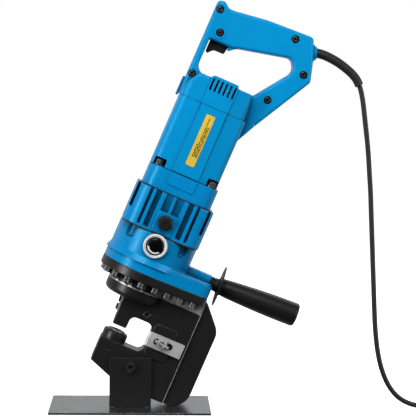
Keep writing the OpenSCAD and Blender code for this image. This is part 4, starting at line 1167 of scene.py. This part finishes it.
def gauge():
    """Edge gauge: bar with a bevelled nose and a slot, clamp screw with washer and cross pin."""
    y0 = -JAW_HALF - PAD_OUT - 0.4
    bar = solid("gauge_bar", [rounded([
        (41, y0, 0.1), (93.5, y0, 0.3), (93.5, y0 - 2.6, 0.4), (43.6, y0 - 2.6, 0.5),
        (41, y0 - 0.8, 0.2),
    ])], 0, 20.5, 0.3, "Z", rings=2)
    slot = solid("slot", [box_outline(51.1, 78.7, GAUGE_SCREW[1] - 4.8, GAUGE_SCREW[1] + 4.8, 4.7)],
        y0 - 5, y0 + 2)
    cut(bar, slot)
    piece(bar, "bright_plate", ["gauge_plate"], "gauge")
    face = y0 - 2.6 - 0.4
    screw = lathe("gauge_screw", [
        (0, -8), (2.95, -8), (2.95, face), (7.4, face, 0.3), (7.4, face - 1.5, 0.5), (5.4, face - 1.6),
        (5.2, face - 2.6), (5.2, face - 8, 0.5), (4.3, face - 8, 0.3), (4.1, face - 1.2),
        (0, face - 1.2),
    ], (GAUGE_SCREW[0], 0, GAUGE_SCREW[1]), REAR)
    turn = radians(8)
    bar_pin = lathe("cross_pin", [
        (0, -10.5), (1.9, -10.5, 0.6), (1.9, 10.5, 0.6), (0, 10.5),
    ], (GAUGE_SCREW[0], face - 4.6, GAUGE_SCREW[1]), (cos(turn), 0, -sin(turn)), 24)
    join(screw, bar_pin)
    piece(screw, "machined_steel", ["gauge_clamp_screw"], "gauge_screw")


def jaw_plug():
    """Plug screw of the upper jaw, with its raised rim."""
    plug = lathe("jaw_plug", [
        (0, -8), (3.9, -8), (3.9, -JAW_HALF), (5.6, -JAW_HALF, 0.2), (5.6, -JAW_HALF - 1.6, 0.6),
        (3.2, -JAW_HALF - 1.6, 0.3), (2.6, -JAW_HALF + 2), (0, -JAW_HALF + 2),
    ], (29, 0, 38.5), REAR, 40)
    piece(plug, "black_screw", ["jaw_plug_screw"])


# ---------- side handle ----------

def on_handle(name, profile, steps=64):
    """Solid turned about the axis of the side handle."""
    return turned(name, profile, (SIDE_X, 0, SIDE_Z), (cos(GRIP_TILT), 0, sin(GRIP_TILT)), steps)


def side_handle():
    """Guard collar with its thin dished disc, and the barrel grip with a ribbed root and a soft end."""
    guard = on_handle("grip_guard", rounded([
        (5, -1.4), (8.6, -1.4, 0.6), (9.4, 0.4, 0.6), (9.4, 3, 0.3), (8.8, 3.6), (8.8, 4.4),
        (9.4, 5, 0.3), (9.6, 9, 0.8), (12.6, 10.4, 1), (28.2, 11.9, 0.4), (28.2, 13.2, 0.5),
        (13.4, 14.8, 1), (5, 14.9), (5, -1.4),
    ], 4, closed=False))
    piece(guard, "black_plastic", ["side_handle_guard"])
    swell = [(12.2 + 4.2 * sin(radians(9 * k)), 15 + 10 * k) for k in range(1, 11)]
    end = [(12.4 + 4 * cos(radians(10 * k)), 123 + 4 * sin(radians(10 * k))) for k in range(10)]
    grip = on_handle("grip_barrel", [
        (5, 15.05), (11.6, 15.05), (12.1, 15.6), (12.1, 17.4), (11.7, 17.9), (11.7, 18.7), (12.2, 19.2),
        (12.4, 20.6), *swell, *end[1:], (5.2, 126.9), (4.6, 126.2), (0, 126.2), (0, 71), (5, 71),
        (5, 15.05),
    ])
    piece(grip, "black_plastic", ["side_handle_grip"])


# ---------- trigger, label, badge ----------

def trigger_paddle():
    """Trigger paddle with a finger hook and soft edges, on its stem."""
    paddle = solid("trigger_paddle", [rounded([
        (-41.5, 420.5, 2.2), (-41.5, 402, 2.2), (-38.6, 399, 1.6), (-32, 406.6, 8), (-17, 406.8, 1.6),
        (-15.6, 414.5, 2.2), (-16, 420.5, 2),
    ])], -7.8, 7.8, 1.5, rings=4)
    stem = turned("stem", [(0, 418), (2.95, 418), (2.95, 429.6), (2.5, 430), (0, 430)], (-22, 0, 0),
        steps=24)
    join(paddle, stem)
    piece(paddle, "black_plastic", ["trigger"], "trigger_unit")


def label():
    """Yellow plate with plain dark dashes in place of lettering."""
    face = -MOTOR_DEEP - 2
    plate = solid("label_plate", [box_outline(-7.2, 5.8, 249.6, 323.2, 1.8)], face, face + 0.62, 0.12,
        rings=1)
    piece(plate, "label_yellow", ["spec_label"])
    dashes = []
    for x, top in ((-2.8, 281), (-0.7, 319), (1.3, 307), (3.3, 307)):
        z, k = 263.0, 0
        while z < top:
            length = min(top - z, 3.5 + 2.5 * sin(2.4 * k + x))
            dashes.append(block("dash", x - 0.62, x + 0.62, face - 0.04, face + 0.1, z, z + length))
            z += length + 0.8
            k += 1
    piece(group("label_dashes", dashes), "black_plastic")


def badge():
    """Low moulded badge block on the left side, blank."""
    block_low = solid("badge_block", [box_outline(-13, 13, 331, 358, 2.5)], -56, -52.6, 1.0, "X")
    piece(block_low, "dark_blue", ["side_badge"])


# ---------- every CAD node that stays as it is ----------

def finish_nodes():
    """Each CAD node that is still shown takes the finish of its slot."""
    slots = {part["node"]: part["material_slot"] for part in frame["record"]["subparts"]}
    for name, obj in NODES.items():
        if obj.hide_render:
            continue
        obj.data.materials.clear()
        obj.data.materials.append(MATERIALS[slots[name]])


MATERIALS = make_materials()
make_camera()
make_light()
make_floor()
mains()
base()
brackets()
frame_shell()
flange_screws()
jaw_plug()
gauge()
pump_shell()
sight_glass()
side_handle()
gear_shell()
filler()
fan_shell()
foot_screws()
motor_shell()
label()
badge()
handle_shells()
case_screws()
trigger_paddle()
finish_nodes()
